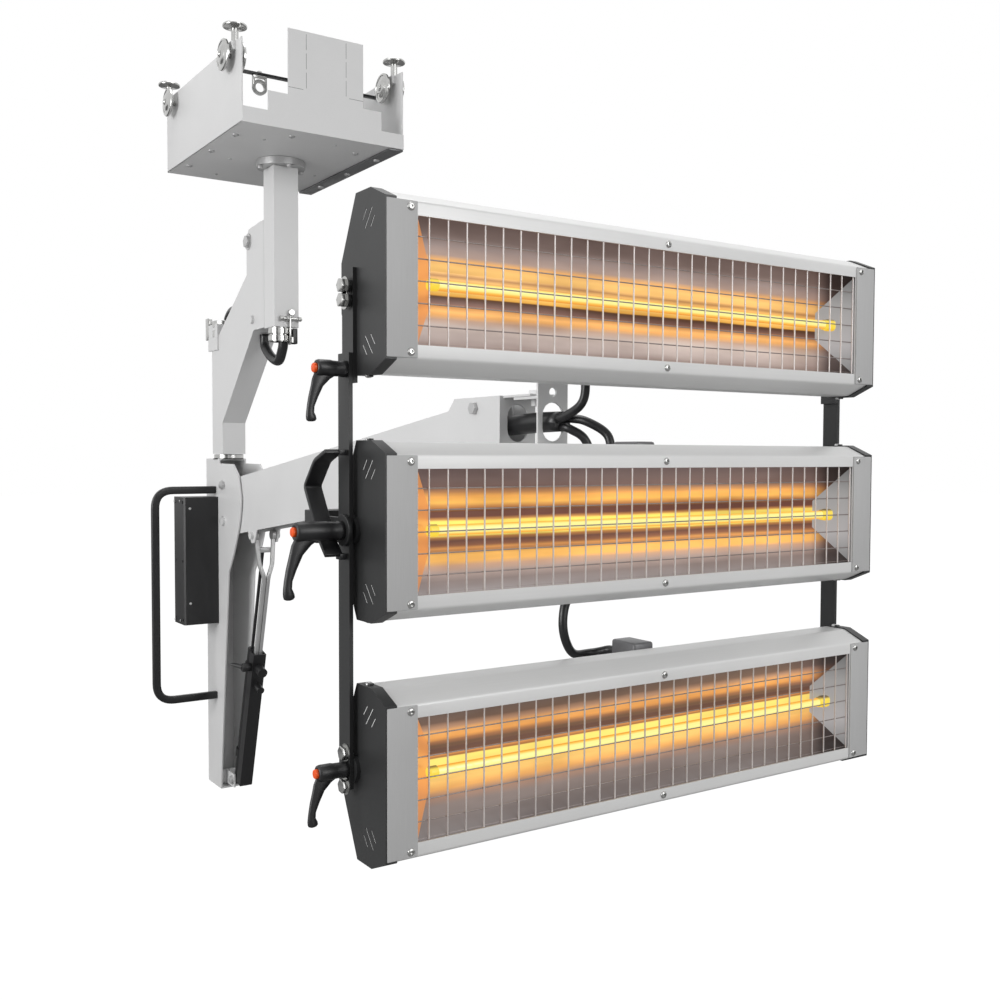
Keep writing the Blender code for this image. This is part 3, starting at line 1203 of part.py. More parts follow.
# yoke beam behind the cassettes with its two end plates
beam_z = (HEAD_Z - YOKE_BEAM_HALF, HEAD_Z + YOKE_BEAM_HALF)
solids = [block((-YOKE_OUTER, YOKE_OUTER), (YOKE_BEAM_FRONT_Y, YOKE_BEAM_REAR_Y), beam_z)]
cuts = []
for side in (-1, 1):
    plate = sorted((side * YOKE_INNER, side * YOKE_OUTER))
    plate_z = (HEAD_Z - YOKE_PLATE_HALF, HEAD_Z + YOKE_PLATE_HALF)
    solids.append(block(plate, (HINGE_Y, YOKE_BEAM_FRONT_Y + LAP), plate_z))
    solids.append(disc("x", HINGE_Y, HEAD_Z, YOKE_EYE_RADIUS, *plate))
    cuts.append(disc("x", HINGE_Y, HEAD_Z, STUD_RADIUS + GAP, plate[0] - LAP, plate[1] + LAP))
node("yoke_beam", CAP, (0, HINGE_Y, HEAD_Z), solids, cuts)

# side bars with the bolts of the bottom cassette
for side, side_name in ((-1, "left"), (1, "right")):
    bar = sorted((side * BAR_INNER, side * BAR_OUTER))
    solids = [block(bar, (BAR_FRONT_Y, BAR_REAR_Y), (BAR_BOTTOM, BAR_TOP))]
    head = sorted((side * (BAR_OUTER - LAP), side * (BAR_OUTER + HEX_HEIGHT)))
    for z in (BOTTOM_HINGE_Z - BOTTOM_HEX_OFFSET * 1.2, BOTTOM_HINGE_Z + BOTTOM_HEX_OFFSET * 1.2):
        solids.append(disc("x", HINGE_Y, z, HEX_RADIUS, *head, HEX_SIDES))
    cuts = []
    for z in (TOP_HINGE_Z, HEAD_Z, BOTTOM_HINGE_Z):
        cuts.append(disc("x", HINGE_Y, z, STUD_RADIUS + GAP, bar[0] - LAP, bar[1] + LAP))
    node(f"{side_name}_bar", DARK, (side * BAR_INNER, HINGE_Y, HEAD_Z), solids, cuts)

# strap handle bowed out behind the left bar, on two tabs
half = STRAP_THICKNESS / 2
spine = [
    Vector((0, STRAP_LOW_Y, STRAP_LOW_Z)), Vector((0, STRAP_TURN_Y, STRAP_TURN_Z)),
    Vector((0, STRAP_RISE_Y, STRAP_RISE_Z)), Vector((0, STRAP_BEND_Y, STRAP_BEND_Z)),
    Vector((0, STRAP_CORNER_Y, STRAP_CORNER_Z)), Vector((0, STRAP_HIGH_Y, STRAP_HIGH_Z)),
]
one_side = []
other_side = []
for i, point in enumerate(spine):
    before = spine[max(i - 1, 0)]
    after = spine[min(i + 1, len(spine) - 1)]
    way = (after - before).normalized()
    across = Vector((0, -way.z, way.y)) * half
    one_side.append((point.y + across.y, point.z + across.z))
    other_side.append((point.y - across.y, point.z - across.z))
solids = [prism("x", one_side + other_side[::-1], STRAP_INNER_X - STRAP_WIDTH, STRAP_INNER_X)]
tab_x = (STRAP_INNER_X - LAP, -BAR_OUTER - GAP)
for y, z in ((STRAP_LOW_Y, STRAP_LOW_Z), (STRAP_HIGH_Y, STRAP_HIGH_Z)):
    solids.append(block(tab_x, (y - half, y + STRAP_TAB_HALF * 2), (z - half, z + half)))
node("tilt_handle", BLACK, (STRAP_INNER_X, HINGE_Y, HEAD_Z), solids)

# cassettes
back_y = CASSETTE_FRONT_Y + CASSETTE_DEPTH
centres = (HEAD_Z + CASSETTE_PITCH, HEAD_Z, HEAD_Z - CASSETTE_PITCH)


def profile(centre, grow=0.0):
    """The casing's section seen from the side, grown outwards by a little."""
    half_face = CASSETTE_FACE_HALF + grow
    edge = CASSETTE_HALF + grow
    front = CASSETTE_FRONT_Y - grow
    section = [
        (front, half_face), (CASSETTE_FRONT_Y + CASSETTE_EDGE_DEPTH, edge),
        (CASSETTE_FRONT_Y + CASSETTE_MID_DEPTH, edge), (back_y + grow, CASSETTE_BACK_HALF + grow / 2),
    ]
    return [(y, centre + z) for y, z in section] + [(y, centre - z) for y, z in reversed(section)]


def funnel(centre, grow, front):
    """The reflector's hollow, four slanted walls and a flat back, grown outwards by a wall."""
    shape = bmesh.new()
    rings = []
    for y, half_x, half_z in (
        (front, MOUTH_HALF_X, MOUTH_HALF_Z),
        (CASSETTE_FRONT_Y + GUARD_SEAT, MOUTH_HALF_X, MOUTH_HALF_Z),
        (CASSETTE_FRONT_Y + REFLECTOR_DEPTH + grow, REFLECTOR_BACK_HALF_X, REFLECTOR_BACK_HALF_Z),
    ):
        wide = half_x + grow
        tall = half_z + grow
        corners = ((-wide, -tall), (wide, -tall), (wide, tall), (-wide, tall))
        rings.append([shape.verts.new((x, y, centre + z)) for x, z in corners])
    shape.faces.new(rings[0])
    shape.faces.new(rings[-1])
    for near, far in zip(rings, rings[1:]):
        for i in range(len(near)):
            j = (i + 1) % len(near)
            shape.faces.new((near[i], near[j], far[j], far[i]))
    return from_bmesh(shape)


for level, centre in zip(("top", "middle", "bottom"), centres):
    hinge_z = {"top": TOP_HINGE_Z, "middle": HEAD_Z, "bottom": BOTTOM_HINGE_Z}[level]
    origin = (0, HINGE_Y, hinge_z)
    face_half = CASSETTE_LENGTH / 2
    mouth = funnel(centre, 0, CASSETTE_FRONT_Y - LAP)

    terminal_x = (TERMINAL_LEFT, TERMINAL_LEFT + TERMINAL_WIDTH)
    terminal_mid = TERMINAL_LEFT + TERMINAL_WIDTH / 2
    gland_z = centre + (TERMINAL_LOW + TERMINAL_HIGH) / 2
    shell = combine(
        prism("x", profile(centre), -face_half, face_half),
        [prism("x", profile(centre, -CASSETTE_SHEET), -face_half - LAP, face_half + LAP)],
        "DIFFERENCE",
    )
    solids = [
        shell,
        funnel(centre, CASSETTE_SHEET, CASSETTE_FRONT_Y + CASSETTE_SHEET / 2),
        block(terminal_x, (TERMINAL_FRONT_Y, TERMINAL_REAR_Y), (centre + TERMINAL_LOW, centre + TERMINAL_HIGH)),
        disc(
            "y", terminal_mid, gland_z, GLAND_RADIUS,
            TERMINAL_REAR_Y - LAP, TERMINAL_REAR_Y + GLAND_LENGTH, SMALL_SIDES,
        ),
    ]
    for side in (-1, 1):
        strip = sorted((side * (face_half - STRIP_END_WIDTH), side * (face_half - CAP_WRAP - GAP)))
        solids.append(block(
            strip, (CASSETTE_FRONT_Y - STRIP_END_THICKNESS, CASSETTE_FRONT_Y + LAP),
            (centre - CASSETTE_FACE_HALF, centre + CASSETTE_FACE_HALF),
        ))
    for x in (-BUTTON_SCREW_X, 0, BUTTON_SCREW_X):
        for z in (-BUTTON_SCREW_Z, BUTTON_SCREW_Z):
            solids.append(disc(
                "y", x, centre + z, BUTTON_SCREW_RADIUS,
                CASSETTE_FRONT_Y - BUTTON_SCREW_HEIGHT, CASSETTE_FRONT_Y + LAP, SMALL_SIDES,
            ))
    node(f"{level}_housing", CASING, origin, solids, [mouth])

    # end caps that wrap the casing's ends, with the stud of the hinge
    for side, side_name in ((-1, "left"), (1, "right")):
        outer = side * CAP_FACE
        lip = side * (face_half - CAP_WRAP)
        shell = combine(
            prism("x", profile(centre, GAP + CAP_SKIN), *sorted((outer, lip))),
            [prism("x", profile(centre, GAP), *sorted((side * (face_half + GAP), lip - side * LAP)))],
            "DIFFERENCE",
        )
        solids = [shell]
        for edge in (-1, 1):
            rim = centre + edge * (CASSETTE_HALF + GAP + CAP_SKIN)
            solids.append(disc(
                "z", side * (face_half - CAP_WRAP / 2), CASSETTE_FRONT_Y + (CASSETTE_EDGE_DEPTH + CASSETTE_MID_DEPTH) / 2,
                CAP_SCREW_RADIUS, *sorted((rim - edge * CAP_SKIN / 2, rim + edge * CAP_SCREW_HEIGHT)), SMALL_SIDES,
            ))
        if level == "top":
            bar = sorted((side * (CAP_FACE - LAP), side * SHORT_BAR_FACE))
            solids.append(block(bar, (BAR_FRONT_Y, BAR_REAR_Y), (SHORT_BAR_BOTTOM, SHORT_BAR_TOP)))
            head = sorted((side * (SHORT_BAR_FACE - LAP), side * (SHORT_BAR_FACE + HEX_HEIGHT)))
            for z in (TOP_HEX_HIGH_Z, TOP_HEX_LOW_Z):
                solids.append(disc("x", HINGE_Y, z, HEX_RADIUS, *head, HEX_SIDES))
        else:
            spacer = sorted((side * (CAP_FACE - LAP), side * SHORT_BAR_FACE))
            solids.append(disc("x", HINGE_Y, hinge_z, SPACER_RADIUS, *spacer))
        reach = YOKE_OUTER if level == "middle" else BAR_OUTER
        if side < 0:
            stud_end = -reach - GAP - BUTTON_DEPTH
        else:
            stud_end = reach + GAP + NUT_HEIGHT
            solids.append(disc("x", HINGE_Y, hinge_z, NUT_RADIUS, reach + GAP, stud_end, HEX_SIDES))
        stud = sorted((side * (SHORT_BAR_FACE - LAP), stud_end))
        solids.append(disc("x", HINGE_Y, hinge_z, STUD_RADIUS, *stud))
        cuts = []
        for edge in (-1, 1):
            for i in range(SLOTS):
                share = 1 if i == 1 else SLOT_SHORT_SHARE
                slot_y = SLOT_Y + (i - 1) * SLOT_STEP
                slot_z = centre + edge * (SLOT_Z + (i - 1) * SLOT_HALF_LENGTH / 2)
                lean = -edge * SLOT_LEAN * share
                tall = SLOT_HALF_LENGTH * share
                points = [
                    (slot_y - lean - SLOT_HALF_WIDTH, slot_z - tall),
                    (slot_y - lean + SLOT_HALF_WIDTH, slot_z - tall),
                    (slot_y + lean + SLOT_HALF_WIDTH, slot_z + tall),
                    (slot_y + lean - SLOT_HALF_WIDTH, slot_z + tall),
                ]
                cuts.append(prism("x", points, *sorted((outer - side * SLOT_DEPTH, outer + side * LAP))))
        node(f"{level}_{side_name}_cap", CAP, origin, solids, cuts)

    # wire guard in the mouth
    half_x = MOUTH_HALF_X - GAP
    half_z = MOUTH_HALF_Z - GAP
    front = CASSETTE_FRONT_Y + GUARD_WIRE / 2
    wire = GUARD_WIRE
    wires_x = int(half_x / GUARD_PITCH_X)
    holes = []
    columns = [(i - wires_x) * GUARD_PITCH_X for i in range(2 * wires_x + 1)]
    rows = [-half_z + wire / 2, -GUARD_PITCH_Z / 2, GUARD_PITCH_Z / 2, half_z - wire / 2]
    columns = [-half_x + wire / 2, *columns, half_x - wire / 2]
    for left, right in zip(columns, columns[1:]):
        for low, high in zip(rows, rows[1:]):
            holes.append(block(
                (left + wire / 2, right - wire / 2), (front - wire, front + wire * 2),
                (centre + low + wire / 2, centre + high - wire / 2),
            ))
    sheet = block((-half_x, half_x), (front, front + wire), (centre - half_z, centre + half_z))
    grid = holes[0]
    joined = bmesh.new()
    for hole in holes:
        joined.from_mesh(hole.data)
    for hole in holes[1:]:
        bpy.data.objects.remove(hole)
    joined.to_mesh(grid.data)
    joined.free()
    node(f"{level}_guard", GUARD, origin, [sheet], [grid])

    # lamp between two sockets on the reflector's ends
    slope = (MOUTH_HALF_X - REFLECTOR_BACK_HALF_X) / (REFLECTOR_DEPTH - GUARD_SEAT)
    depth = LAMP_Y - CASSETTE_FRONT_Y - GUARD_SEAT
    near_wall = MOUTH_HALF_X - slope * (depth + LAMP_SOCKET_RADIUS) - GAP
    node(
        f"{level}_lamp", GLOW, (0, LAMP_Y, centre),
        [
            disc("x", LAMP_Y, centre, LAMP_RADIUS, -near_wall, near_wall),
            disc("x", LAMP_Y, centre, LAMP_SOCKET_RADIUS, -near_wall, -near_wall + LAMP_SOCKET_LENGTH),
            disc("x", LAMP_Y, centre, LAMP_SOCKET_RADIUS, near_wall - LAMP_SOCKET_LENGTH, near_wall),
        ],
    )

    # clamp lever on the left stud, with its push button
    inner_x = -reach - GAP
    hub = MIDDLE_HUB_RADIUS if level == "middle" else LEVER_HUB_RADIUS
    arm_length = MIDDLE_LEVER_ARM if level == "middle" else LEVER_ARM
    outer_x = MIDDLE_LEVER_OUTER_X if level == "middle" else LEVER_OUTER_X
    lean = MIDDLE_LEVER_LEAN if level == "middle" else LEVER_LEAN
    mid_x = outer_x - lean * LEVER_MID_SHARE
    points = [
        (outer_x, hinge_z), (outer_x + LEVER_ROOT_WIDTH, hinge_z),
        (mid_x + LEVER_MID_WIDTH, hinge_z - arm_length / 2),
        (outer_x - lean + LEVER_TIP_WIDTH, hinge_z - arm_length),
        (outer_x - lean, hinge_z - arm_length),
        (mid_x, hinge_z - arm_length / 2), (outer_x, hinge_z - hub),
    ]
    bore = outer_x + BUTTON_DEPTH + BUTTON_TRAVEL_ROOM
    node(
        f"{level}_lever", BLACK, (inner_x, HINGE_Y, hinge_z),
        [
            disc("x", HINGE_Y, hinge_z, hub, outer_x, inner_x),
            prism("y", points, HINGE_Y - LEVER_ARM_THICKNESS / 2, HINGE_Y + LEVER_ARM_THICKNESS / 2),
        ],
        [
            disc("x", HINGE_Y, hinge_z, STUD_RADIUS + GAP, inner_x - BUTTON_DEPTH - LAP, inner_x + LAP),
            disc("x", HINGE_Y, hinge_z, BUTTON_RADIUS + GAP, outer_x - LAP, bore),
        ],
    )
    node(
        f"{level}_lever_button", ORANGE, (outer_x, HINGE_Y, hinge_z),
        [disc("x", HINGE_Y, hinge_z, BUTTON_RADIUS, outer_x - BUTTON_PROUD, outer_x + BUTTON_DEPTH)],
    )

# cable bundle through the wrist, and the cable of each cassette
bundle = [
    Vector((0, BUNDLE_START_Y, BUNDLE_Z - BUNDLE_SAG)),
    Vector((0, BUNDLE_BEND_Y, BUNDLE_Z)),
    Vector((0, BUNDLE_END_Y, BUNDLE_Z)),
]
node("cable_bundle", RUBBER, (0, BUNDLE_END_Y, BUNDLE_Z), [hose(bundle, BUNDLE_RADIUS)])
gland_end = TERMINAL_REAR_Y + GLAND_LENGTH + GAP
gland_rise = (TERMINAL_LOW + TERMINAL_HIGH) / 2
start_y = BUNDLE_END_Y - GAP
back = Vector((0, CABLE_RADIUS * 1.6, 0))
glands = [Vector((terminal_mid, gland_end, centre + gland_rise)) for centre in centres]
high_start = BUNDLE_Z + CABLE_SPREAD * 0.55
starts = [
    Vector((-CABLE_SPREAD, start_y, high_start)), Vector((CABLE_SPREAD, start_y, high_start)),
    Vector((0, start_y, BUNDLE_Z - CABLE_SPREAD * 1.1)),
]
ways = [
    [
        Vector((0, TOP_WAY_Y, BUNDLE_Z + TOP_WAY_LOW)),
        Vector((TOP_WAY_X, TOP_WAY_Y, BUNDLE_Z + TOP_WAY_RISE)),
        Vector((terminal_mid, TOP_BEND_Y, glands[0].z - TOP_BEND_DROP)),
    ],
    [
        Vector((MIDDLE_WAY_X, MIDDLE_WAY_Y, BUNDLE_Z)),
        Vector((terminal_mid, MIDDLE_BEND_Y, BUNDLE_Z - MIDDLE_BEND_DROP)),
    ],
    [
        Vector((BOTTOM_WAY_X * 0.6, BOTTOM_WAY_Y, BUNDLE_Z - BOTTOM_WAY_DROP)),
        Vector((BOTTOM_WAY_X, BOTTOM_WAY_Y, HEAD_Z + YOKE_BEAM_HALF)),
        Vector((BOTTOM_WAY_X, BOTTOM_WAY_Y, HEAD_Z - YOKE_BEAM_HALF)),
        Vector((-BOTTOM_SWING_X, BOTTOM_SWING_Y, BOTTOM_SWING_Z)),
        Vector((-BOTTOM_SWING_X * 0.6, BOTTOM_SWING_Y, glands[2].z)),
        Vector((terminal_mid / 2, BOTTOM_SWING_Y, glands[2].z - CABLE_RADIUS)),
    ],
]
for name, start, way, gland in zip(("cable_top", "cable_middle", "cable_bottom"), starts, ways, glands):
    route = led_route([start, start - back, *way, gland + back, gland], 4)
    node(name, RUBBER, start, [hose(route, CABLE_RADIUS)])
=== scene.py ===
import json
import math
import bpy
import bmesh
from mathutils import Matrix, Vector

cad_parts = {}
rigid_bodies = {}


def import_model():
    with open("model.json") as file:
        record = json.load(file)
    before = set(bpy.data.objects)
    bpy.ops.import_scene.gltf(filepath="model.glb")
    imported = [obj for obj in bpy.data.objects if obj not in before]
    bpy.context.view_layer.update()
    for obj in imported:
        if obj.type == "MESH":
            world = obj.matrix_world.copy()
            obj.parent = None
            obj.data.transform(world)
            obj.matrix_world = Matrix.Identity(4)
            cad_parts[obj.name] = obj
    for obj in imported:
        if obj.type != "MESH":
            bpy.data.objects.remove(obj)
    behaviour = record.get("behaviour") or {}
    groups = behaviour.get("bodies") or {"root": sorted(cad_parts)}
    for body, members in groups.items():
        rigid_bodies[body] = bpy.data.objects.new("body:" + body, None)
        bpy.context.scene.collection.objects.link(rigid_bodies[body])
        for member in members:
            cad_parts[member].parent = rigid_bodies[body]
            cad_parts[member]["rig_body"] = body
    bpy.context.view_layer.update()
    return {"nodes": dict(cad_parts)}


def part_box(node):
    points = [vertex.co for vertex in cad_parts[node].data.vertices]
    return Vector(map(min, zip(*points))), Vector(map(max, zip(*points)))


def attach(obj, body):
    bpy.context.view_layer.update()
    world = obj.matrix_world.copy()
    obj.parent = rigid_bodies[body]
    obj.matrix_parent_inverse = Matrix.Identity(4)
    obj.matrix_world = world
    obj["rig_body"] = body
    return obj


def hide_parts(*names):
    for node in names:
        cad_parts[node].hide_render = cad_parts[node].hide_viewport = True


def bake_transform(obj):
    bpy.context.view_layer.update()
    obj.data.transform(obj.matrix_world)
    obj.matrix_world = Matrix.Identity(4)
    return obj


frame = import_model()
nodes = frame["nodes"]
levels = ("top", "middle", "bottom")
print("frame loaded:", len(nodes), "nodes")

# materials: every finish is procedural and reads Object coordinates


def nodeOf(tree, kind, **values):
    made = tree.nodes.new(kind)
    for key, value in values.items():
        if key in made.inputs:
            made.inputs[key].default_value = value
        else:
            setattr(made, key, value)
    return made


def rampOf(tree, factor, stops):
    ramp = tree.nodes.new("ShaderNodeValToRGB")
    tree.links.new(factor, ramp.inputs["Fac"])
    while len(ramp.color_ramp.elements) < len(stops):
        ramp.color_ramp.elements.new(0.5)
    for element, (place, colour) in zip(ramp.color_ramp.elements, stops):
        element.position = place
        element.color = (*colour, 1)
    return ramp.outputs["Color"]


def shade(colour, by):
    return tuple(min(1.0, max(0.0, c * by)) for c in colour)


def multiplied(tree, first, second):
    # two colours multiplied; the second may be a plain one
    mix = nodeOf(tree, "ShaderNodeMix", data_type="RGBA", blend_type="MULTIPLY")
    mix.inputs["Factor"].default_value = 1.0
    tree.links.new(first, mix.inputs[6])
    if isinstance(second, tuple):
        mix.inputs[7].default_value = (*second, 1)
    else:
        tree.links.new(second, mix.inputs[7])
    return mix.outputs[2]


def rangeOf(tree, value, fromLow, fromHigh, toLow=0.0, toHigh=1.0):
    span = nodeOf(tree, "ShaderNodeMapRange")
    for key, number in (("From Min", fromLow), ("From Max", fromHigh), ("To Min", toLow), ("To Max", toHigh)):
        span.inputs[key].default_value = number
    tree.links.new(value, span.inputs["Value"])
    return span.outputs["Result"]


def mathOf(tree, operation, *terms):
    node = nodeOf(tree, "ShaderNodeMath", operation=operation)
    for socket, term in zip(node.inputs, terms):
        if isinstance(term, float):
            socket.default_value = term
        else:
            tree.links.new(term, socket)
    return node.outputs["Value"]


def noiseOf(tree, place, stretch, scale, detail, roughness):
    turn = nodeOf(tree, "ShaderNodeMapping", Scale=stretch)
    noise = nodeOf(tree, "ShaderNodeTexNoise", Scale=scale, Detail=detail, Roughness=roughness)
    tree.links.new(place, turn.inputs["Vector"])
    tree.links.new(turn.outputs["Vector"], noise.inputs["Vector"])
    return noise.outputs["Fac"]


def finish(name, look):
    made = bpy.data.materials.new(name)
    made.use_nodes = True
    tree = made.node_tree
    shader = tree.nodes["Principled BSDF"]
    shader.inputs["Metallic"].default_value = look.get("metallic", 0.0)
    place = nodeOf(tree, "ShaderNodeTexCoord").outputs["Object"]
    fine = noiseOf(tree, place, look.get("stretch", (1, 1, 1)), look["grain"], 3.0, 0.6)
    broad = noiseOf(tree, place, (1, 1, 1), look.get("patch", 7.0), 4.0, 0.55)
    colour = look["colour"]
    speck = look.get("speck", 0.05)
    stain = look.get("stain", 0.05)
    grainColour = rampOf(tree, fine, [(0.3, shade(colour, 1 - speck)), (0.7, shade(colour, 1 + speck))])
    tone = rampOf(tree, broad, [(0.3, (1 - stain,) * 3), (0.7, (1.0,) * 3)])
    tree.links.new(multiplied(tree, grainColour, tone), shader.inputs["Base Color"])
    rough = look["roughness"]
    spread = look.get("spread", 0.06)
    tree.links.new(rangeOf(tree, broad, 0.3, 0.7, rough - spread, rough + spread), shader.inputs["Roughness"])
    strength, relief = look.get("bump", 0.15), look.get("relief", 0.0002)
    bump = nodeOf(tree, "ShaderNodeBump", Strength=strength, Distance=relief)
    tree.links.new(fine, bump.inputs["Height"])
    tree.links.new(bump.outputs["Normal"], shader.inputs["Normal"])
    if "coat" in look:
        shader.inputs["Coat Weight"].default_value = look["coat"]
        shader.inputs["Coat Roughness"].default_value = 0.2
    return made


finishes = {
    "paint": {
        "colour": (0.70, 0.70, 0.70), "roughness": 0.42, "grain": 900.0, "speck": 0.02, "stain": 0.05,
        "bump": 0.10, "relief": 0.00015, "slot": "light_paint",
    },
    "zinc": {
        "colour": (0.52, 0.52, 0.51), "roughness": 0.2, "metallic": 1.0, "grain": 420.0, "speck": 0.05,
        "stain": 0.12, "patch": 60.0, "spread": 0.05, "bump": 0.04, "slot": "bright_zinc",
    },
    "satinZinc": {
        "colour": (0.56, 0.56, 0.56), "roughness": 0.38, "metallic": 0.55, "grain": 500.0, "speck": 0.05,
        "stain": 0.10, "patch": 30.0, "spread": 0.06, "bump": 0.08, "slot": "bright_zinc",
    },
    "castGrey": {
        "colour": (0.16, 0.16, 0.165), "roughness": 0.42, "metallic": 0.4, "grain": 700.0, "speck": 0.10,
        "stain": 0.15, "bump": 0.25, "slot": "dark_steel",
    },
    "blackPlastic": {
        "colour": (0.0095, 0.0095, 0.0105), "roughness": 0.4, "grain": 1400.0, "speck": 0.18, "stain": 0.15,
        "bump": 0.3, "relief": 0.0001, "slot": "black_plastic",
    },
    "rubber": {
        "colour": (0.010, 0.010, 0.011), "roughness": 0.36, "grain": 700.0, "speck": 0.2, "stain": 0.2,
        "bump": 0.15, "slot": "black_rubber",
    },
    "darkSteel": {
        "colour": (0.016, 0.016, 0.017), "roughness": 0.38, "metallic": 0.2, "grain": 800.0, "speck": 0.15,
        "stain": 0.2, "bump": 0.12, "slot": "dark_steel",
    },
    "casing": {
        "colour": (0.74, 0.74, 0.735), "roughness": 0.38, "metallic": 0.08, "grain": 500.0, "speck": 0.012,
        "stain": 0.03, "stretch": (0.02, 1, 1), "bump": 0.05, "slot": "casing_aluminium",
    },
    "endStrip": {
        "colour": (0.47, 0.47, 0.47), "roughness": 0.55, "metallic": 0.0, "grain": 900.0, "speck": 0.03,
        "stain": 0.04, "stretch": (1, 1, 0.02), "bump": 0.06, "slot": "casing_aluminium",
    },
    "powderCoat": {
        "colour": (0.0150, 0.0155, 0.0160), "roughness": 0.46, "grain": 1600.0, "speck": 0.25, "stain": 0.12,
        "bump": 0.4, "relief": 0.0001, "slot": "anthracite_paint",
    },
    # painted light: the guard steel comes twice, the columns light and pink as if lit by the lamp, the rows
    # darker as painted shade
    "wire": {
        "colour": (0.74, 0.69, 0.67), "roughness": 0.35, "metallic": 0.35, "grain": 600.0, "speck": 0.06,
        "stain": 0.12, "patch": 18.0, "slot": "guard_steel",
    },
    "shadedWire": {
        "colour": (0.30, 0.26, 0.25), "roughness": 0.4, "metallic": 0.5, "grain": 600.0, "speck": 0.08,
        "stain": 0.15, "patch": 18.0, "slot": "guard_steel",
    },
    "orangePlastic": {
        "colour": (0.80, 0.085, 0.002), "roughness": 0.42, "grain": 1200.0, "speck": 0.06, "bump": 0.2,
        "slot": "orange_plastic",
    },
}
made = {name: finish(name, look) for name, look in finishes.items()}


glowLook = {
    # streaks run along x; clouds dull the painted reflection at random, and its fade, a painted shade, runs
    # aslant from the left end to the right
    "streakStretch": (3.0, 60.0, 60.0), "streakScale": 1.6, "cloudStretch": (5.0, 9.0, 22.0),
    "cloudScale": 1.0,
    "cloud": [(0.34, (0.72, 0.69, 0.68)), (0.62, (1.0, 1.0, 1.0))],
    "lean": 0.9, "fadeStart": -0.38, "fadeEnd": 0.45, "bump": 0.12, "relief": 0.0004,
}


def glowing(name, centreZ, reach, stops, strength, base, roughness, metallic, streak, fade=()):
    # a glowing surface whose colour follows its height in the cassette, broken up by fine streaks: the lamp
    # tube's own light, and painted light on the reflector, its end plates and the lamp holders
    coat = bpy.data.materials.new(name)
    coat.use_nodes = True
    tree = coat.node_tree
    shader = tree.nodes["Principled BSDF"]
    shader.inputs["Metallic"].default_value = metallic
    shader.inputs["Roughness"].default_value = roughness
    shader.inputs["Emission Strength"].default_value = strength
    place = nodeOf(tree, "ShaderNodeTexCoord").outputs["Object"]
    split = nodeOf(tree, "ShaderNodeSeparateXYZ")
    tree.links.new(place, split.inputs["Vector"])
    noise = noiseOf(tree, place, glowLook["streakStretch"], glowLook["streakScale"], 4.0, 0.6)
    height = mathOf(tree, "ADD", split.outputs["Z"], rangeOf(tree, noise, 0.0, 1.0, -streak, streak))
    colour = rampOf(tree, rangeOf(tree, height, centreZ - reach, centreZ + reach), stops)
    # the painted reflection is dulled at random by clouds and darkened by the fade, a painted shade towards
    # the right end
    if fade:
        cloud = noiseOf(tree, place, glowLook["cloudStretch"], glowLook["cloudScale"], 3.0, 0.55)
        off = mathOf(tree, "ABSOLUTE", mathOf(tree, "SUBTRACT", split.outputs["Z"], centreZ))
        aslant = mathOf(tree, "MULTIPLY_ADD", off, glowLook["lean"], split.outputs["X"])
        along = rampOf(tree, rangeOf(tree, aslant, glowLook["fadeStart"], glowLook["fadeEnd"]), fade)
        colour = multiplied(tree, colour, rampOf(tree, cloud, glowLook["cloud"]))
        colour = multiplied(tree, colour, along)
    tree.links.new(colour, shader.inputs["Emission Color"])
    tree.links.new(multiplied(tree, colour, base), shader.inputs["Base Color"])
    bump = nodeOf(tree, "ShaderNodeBump", Strength=glowLook["bump"], Distance=glowLook["relief"])
    tree.links.new(noise, bump.inputs["Height"])
    tree.links.new(bump.outputs["Normal"], shader.inputs["Normal"])
    return coat


print("finishes made:", len(made))

# modelling helpers


def newPiece(name, bm, coat, body, stands=(), smooth=35):
    mesh = bpy.data.meshes.new(name)
    bm.to_mesh(mesh)
    bm.free()
    piece = bpy.data.objects.new(name, mesh)
    bpy.context.scene.collection.objects.link(piece)
    mesh.materials.append(made[coat] if isinstance(coat, str) else coat)
    for polygon in mesh.polygons:
        polygon.use_smooth = True
    mesh.set_sharp_from_angle(angle=math.radians(smooth))
    if body:
        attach(piece, body)
    if stands:
        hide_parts(*stands)
    return piece


def bodyOf(nodeName):
    return nodes[nodeName]["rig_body"]


def mergedCopy(nodeName, join=True):
    bm = bmesh.new()
    bm.from_mesh(nodes[nodeName].data)
    bmesh.ops.remove_doubles(bm, verts=bm.verts, dist=0.00002)
    if join:
        bmesh.ops.dissolve_limit(bm, angle_limit=math.radians(1), verts=bm.verts, edges=bm.edges)
    return bm


def breakEdges(bm, edges, width, segments=2):
    bmesh.ops.bevel(
        bm, geom=edges, offset=width, offset_type="OFFSET", affect="EDGES", segments=segments,
        profile=0.5, material=-1, clamp_overlap=True,
    )


def sharpEdges(edges, angle):
    limit = math.radians(angle)
    return [e for e in edges if len(e.link_faces) == 2 and e.calc_face_angle(0) > limit]


def bevelSharp(bm, width):
    breakEdges(bm, sharpEdges(bm.edges, 28), width)


def pushOut(bm, outline, way):
    # a flat outline made solid: its face is pushed out along way
    face = bm.faces.new([bm.verts.new(point) for point in outline])
    swept = bmesh.ops.extrude_face_region(bm, geom=[face])["geom"]
    moved = [v for v in swept if isinstance(v, bmesh.types.BMVert)]
    bmesh.ops.translate(bm, verts=moved, vec=way)


def planeCut(bm, place, away, **options):
    geom = bm.verts[:] + bm.edges[:] + bm.faces[:]
    bmesh.ops.bisect_plane(bm, geom=geom, plane_co=place, plane_no=away, **options)


def flatShaded(piece):
    modifier = piece.modifiers.new("Flat", "WEIGHTED_NORMAL")
    modifier.keep_sharp = True
    return piece


def edgedCopy(name, nodeName, width, coat, smooth=35):
    # the CAD piece again with its sharp edges broken, so that they catch the light
    bm = mergedCopy(nodeName)
    bevelSharp(bm, width)
    return flatShaded(newPiece(name, bm, coat, bodyOf(nodeName), [nodeName], smooth))


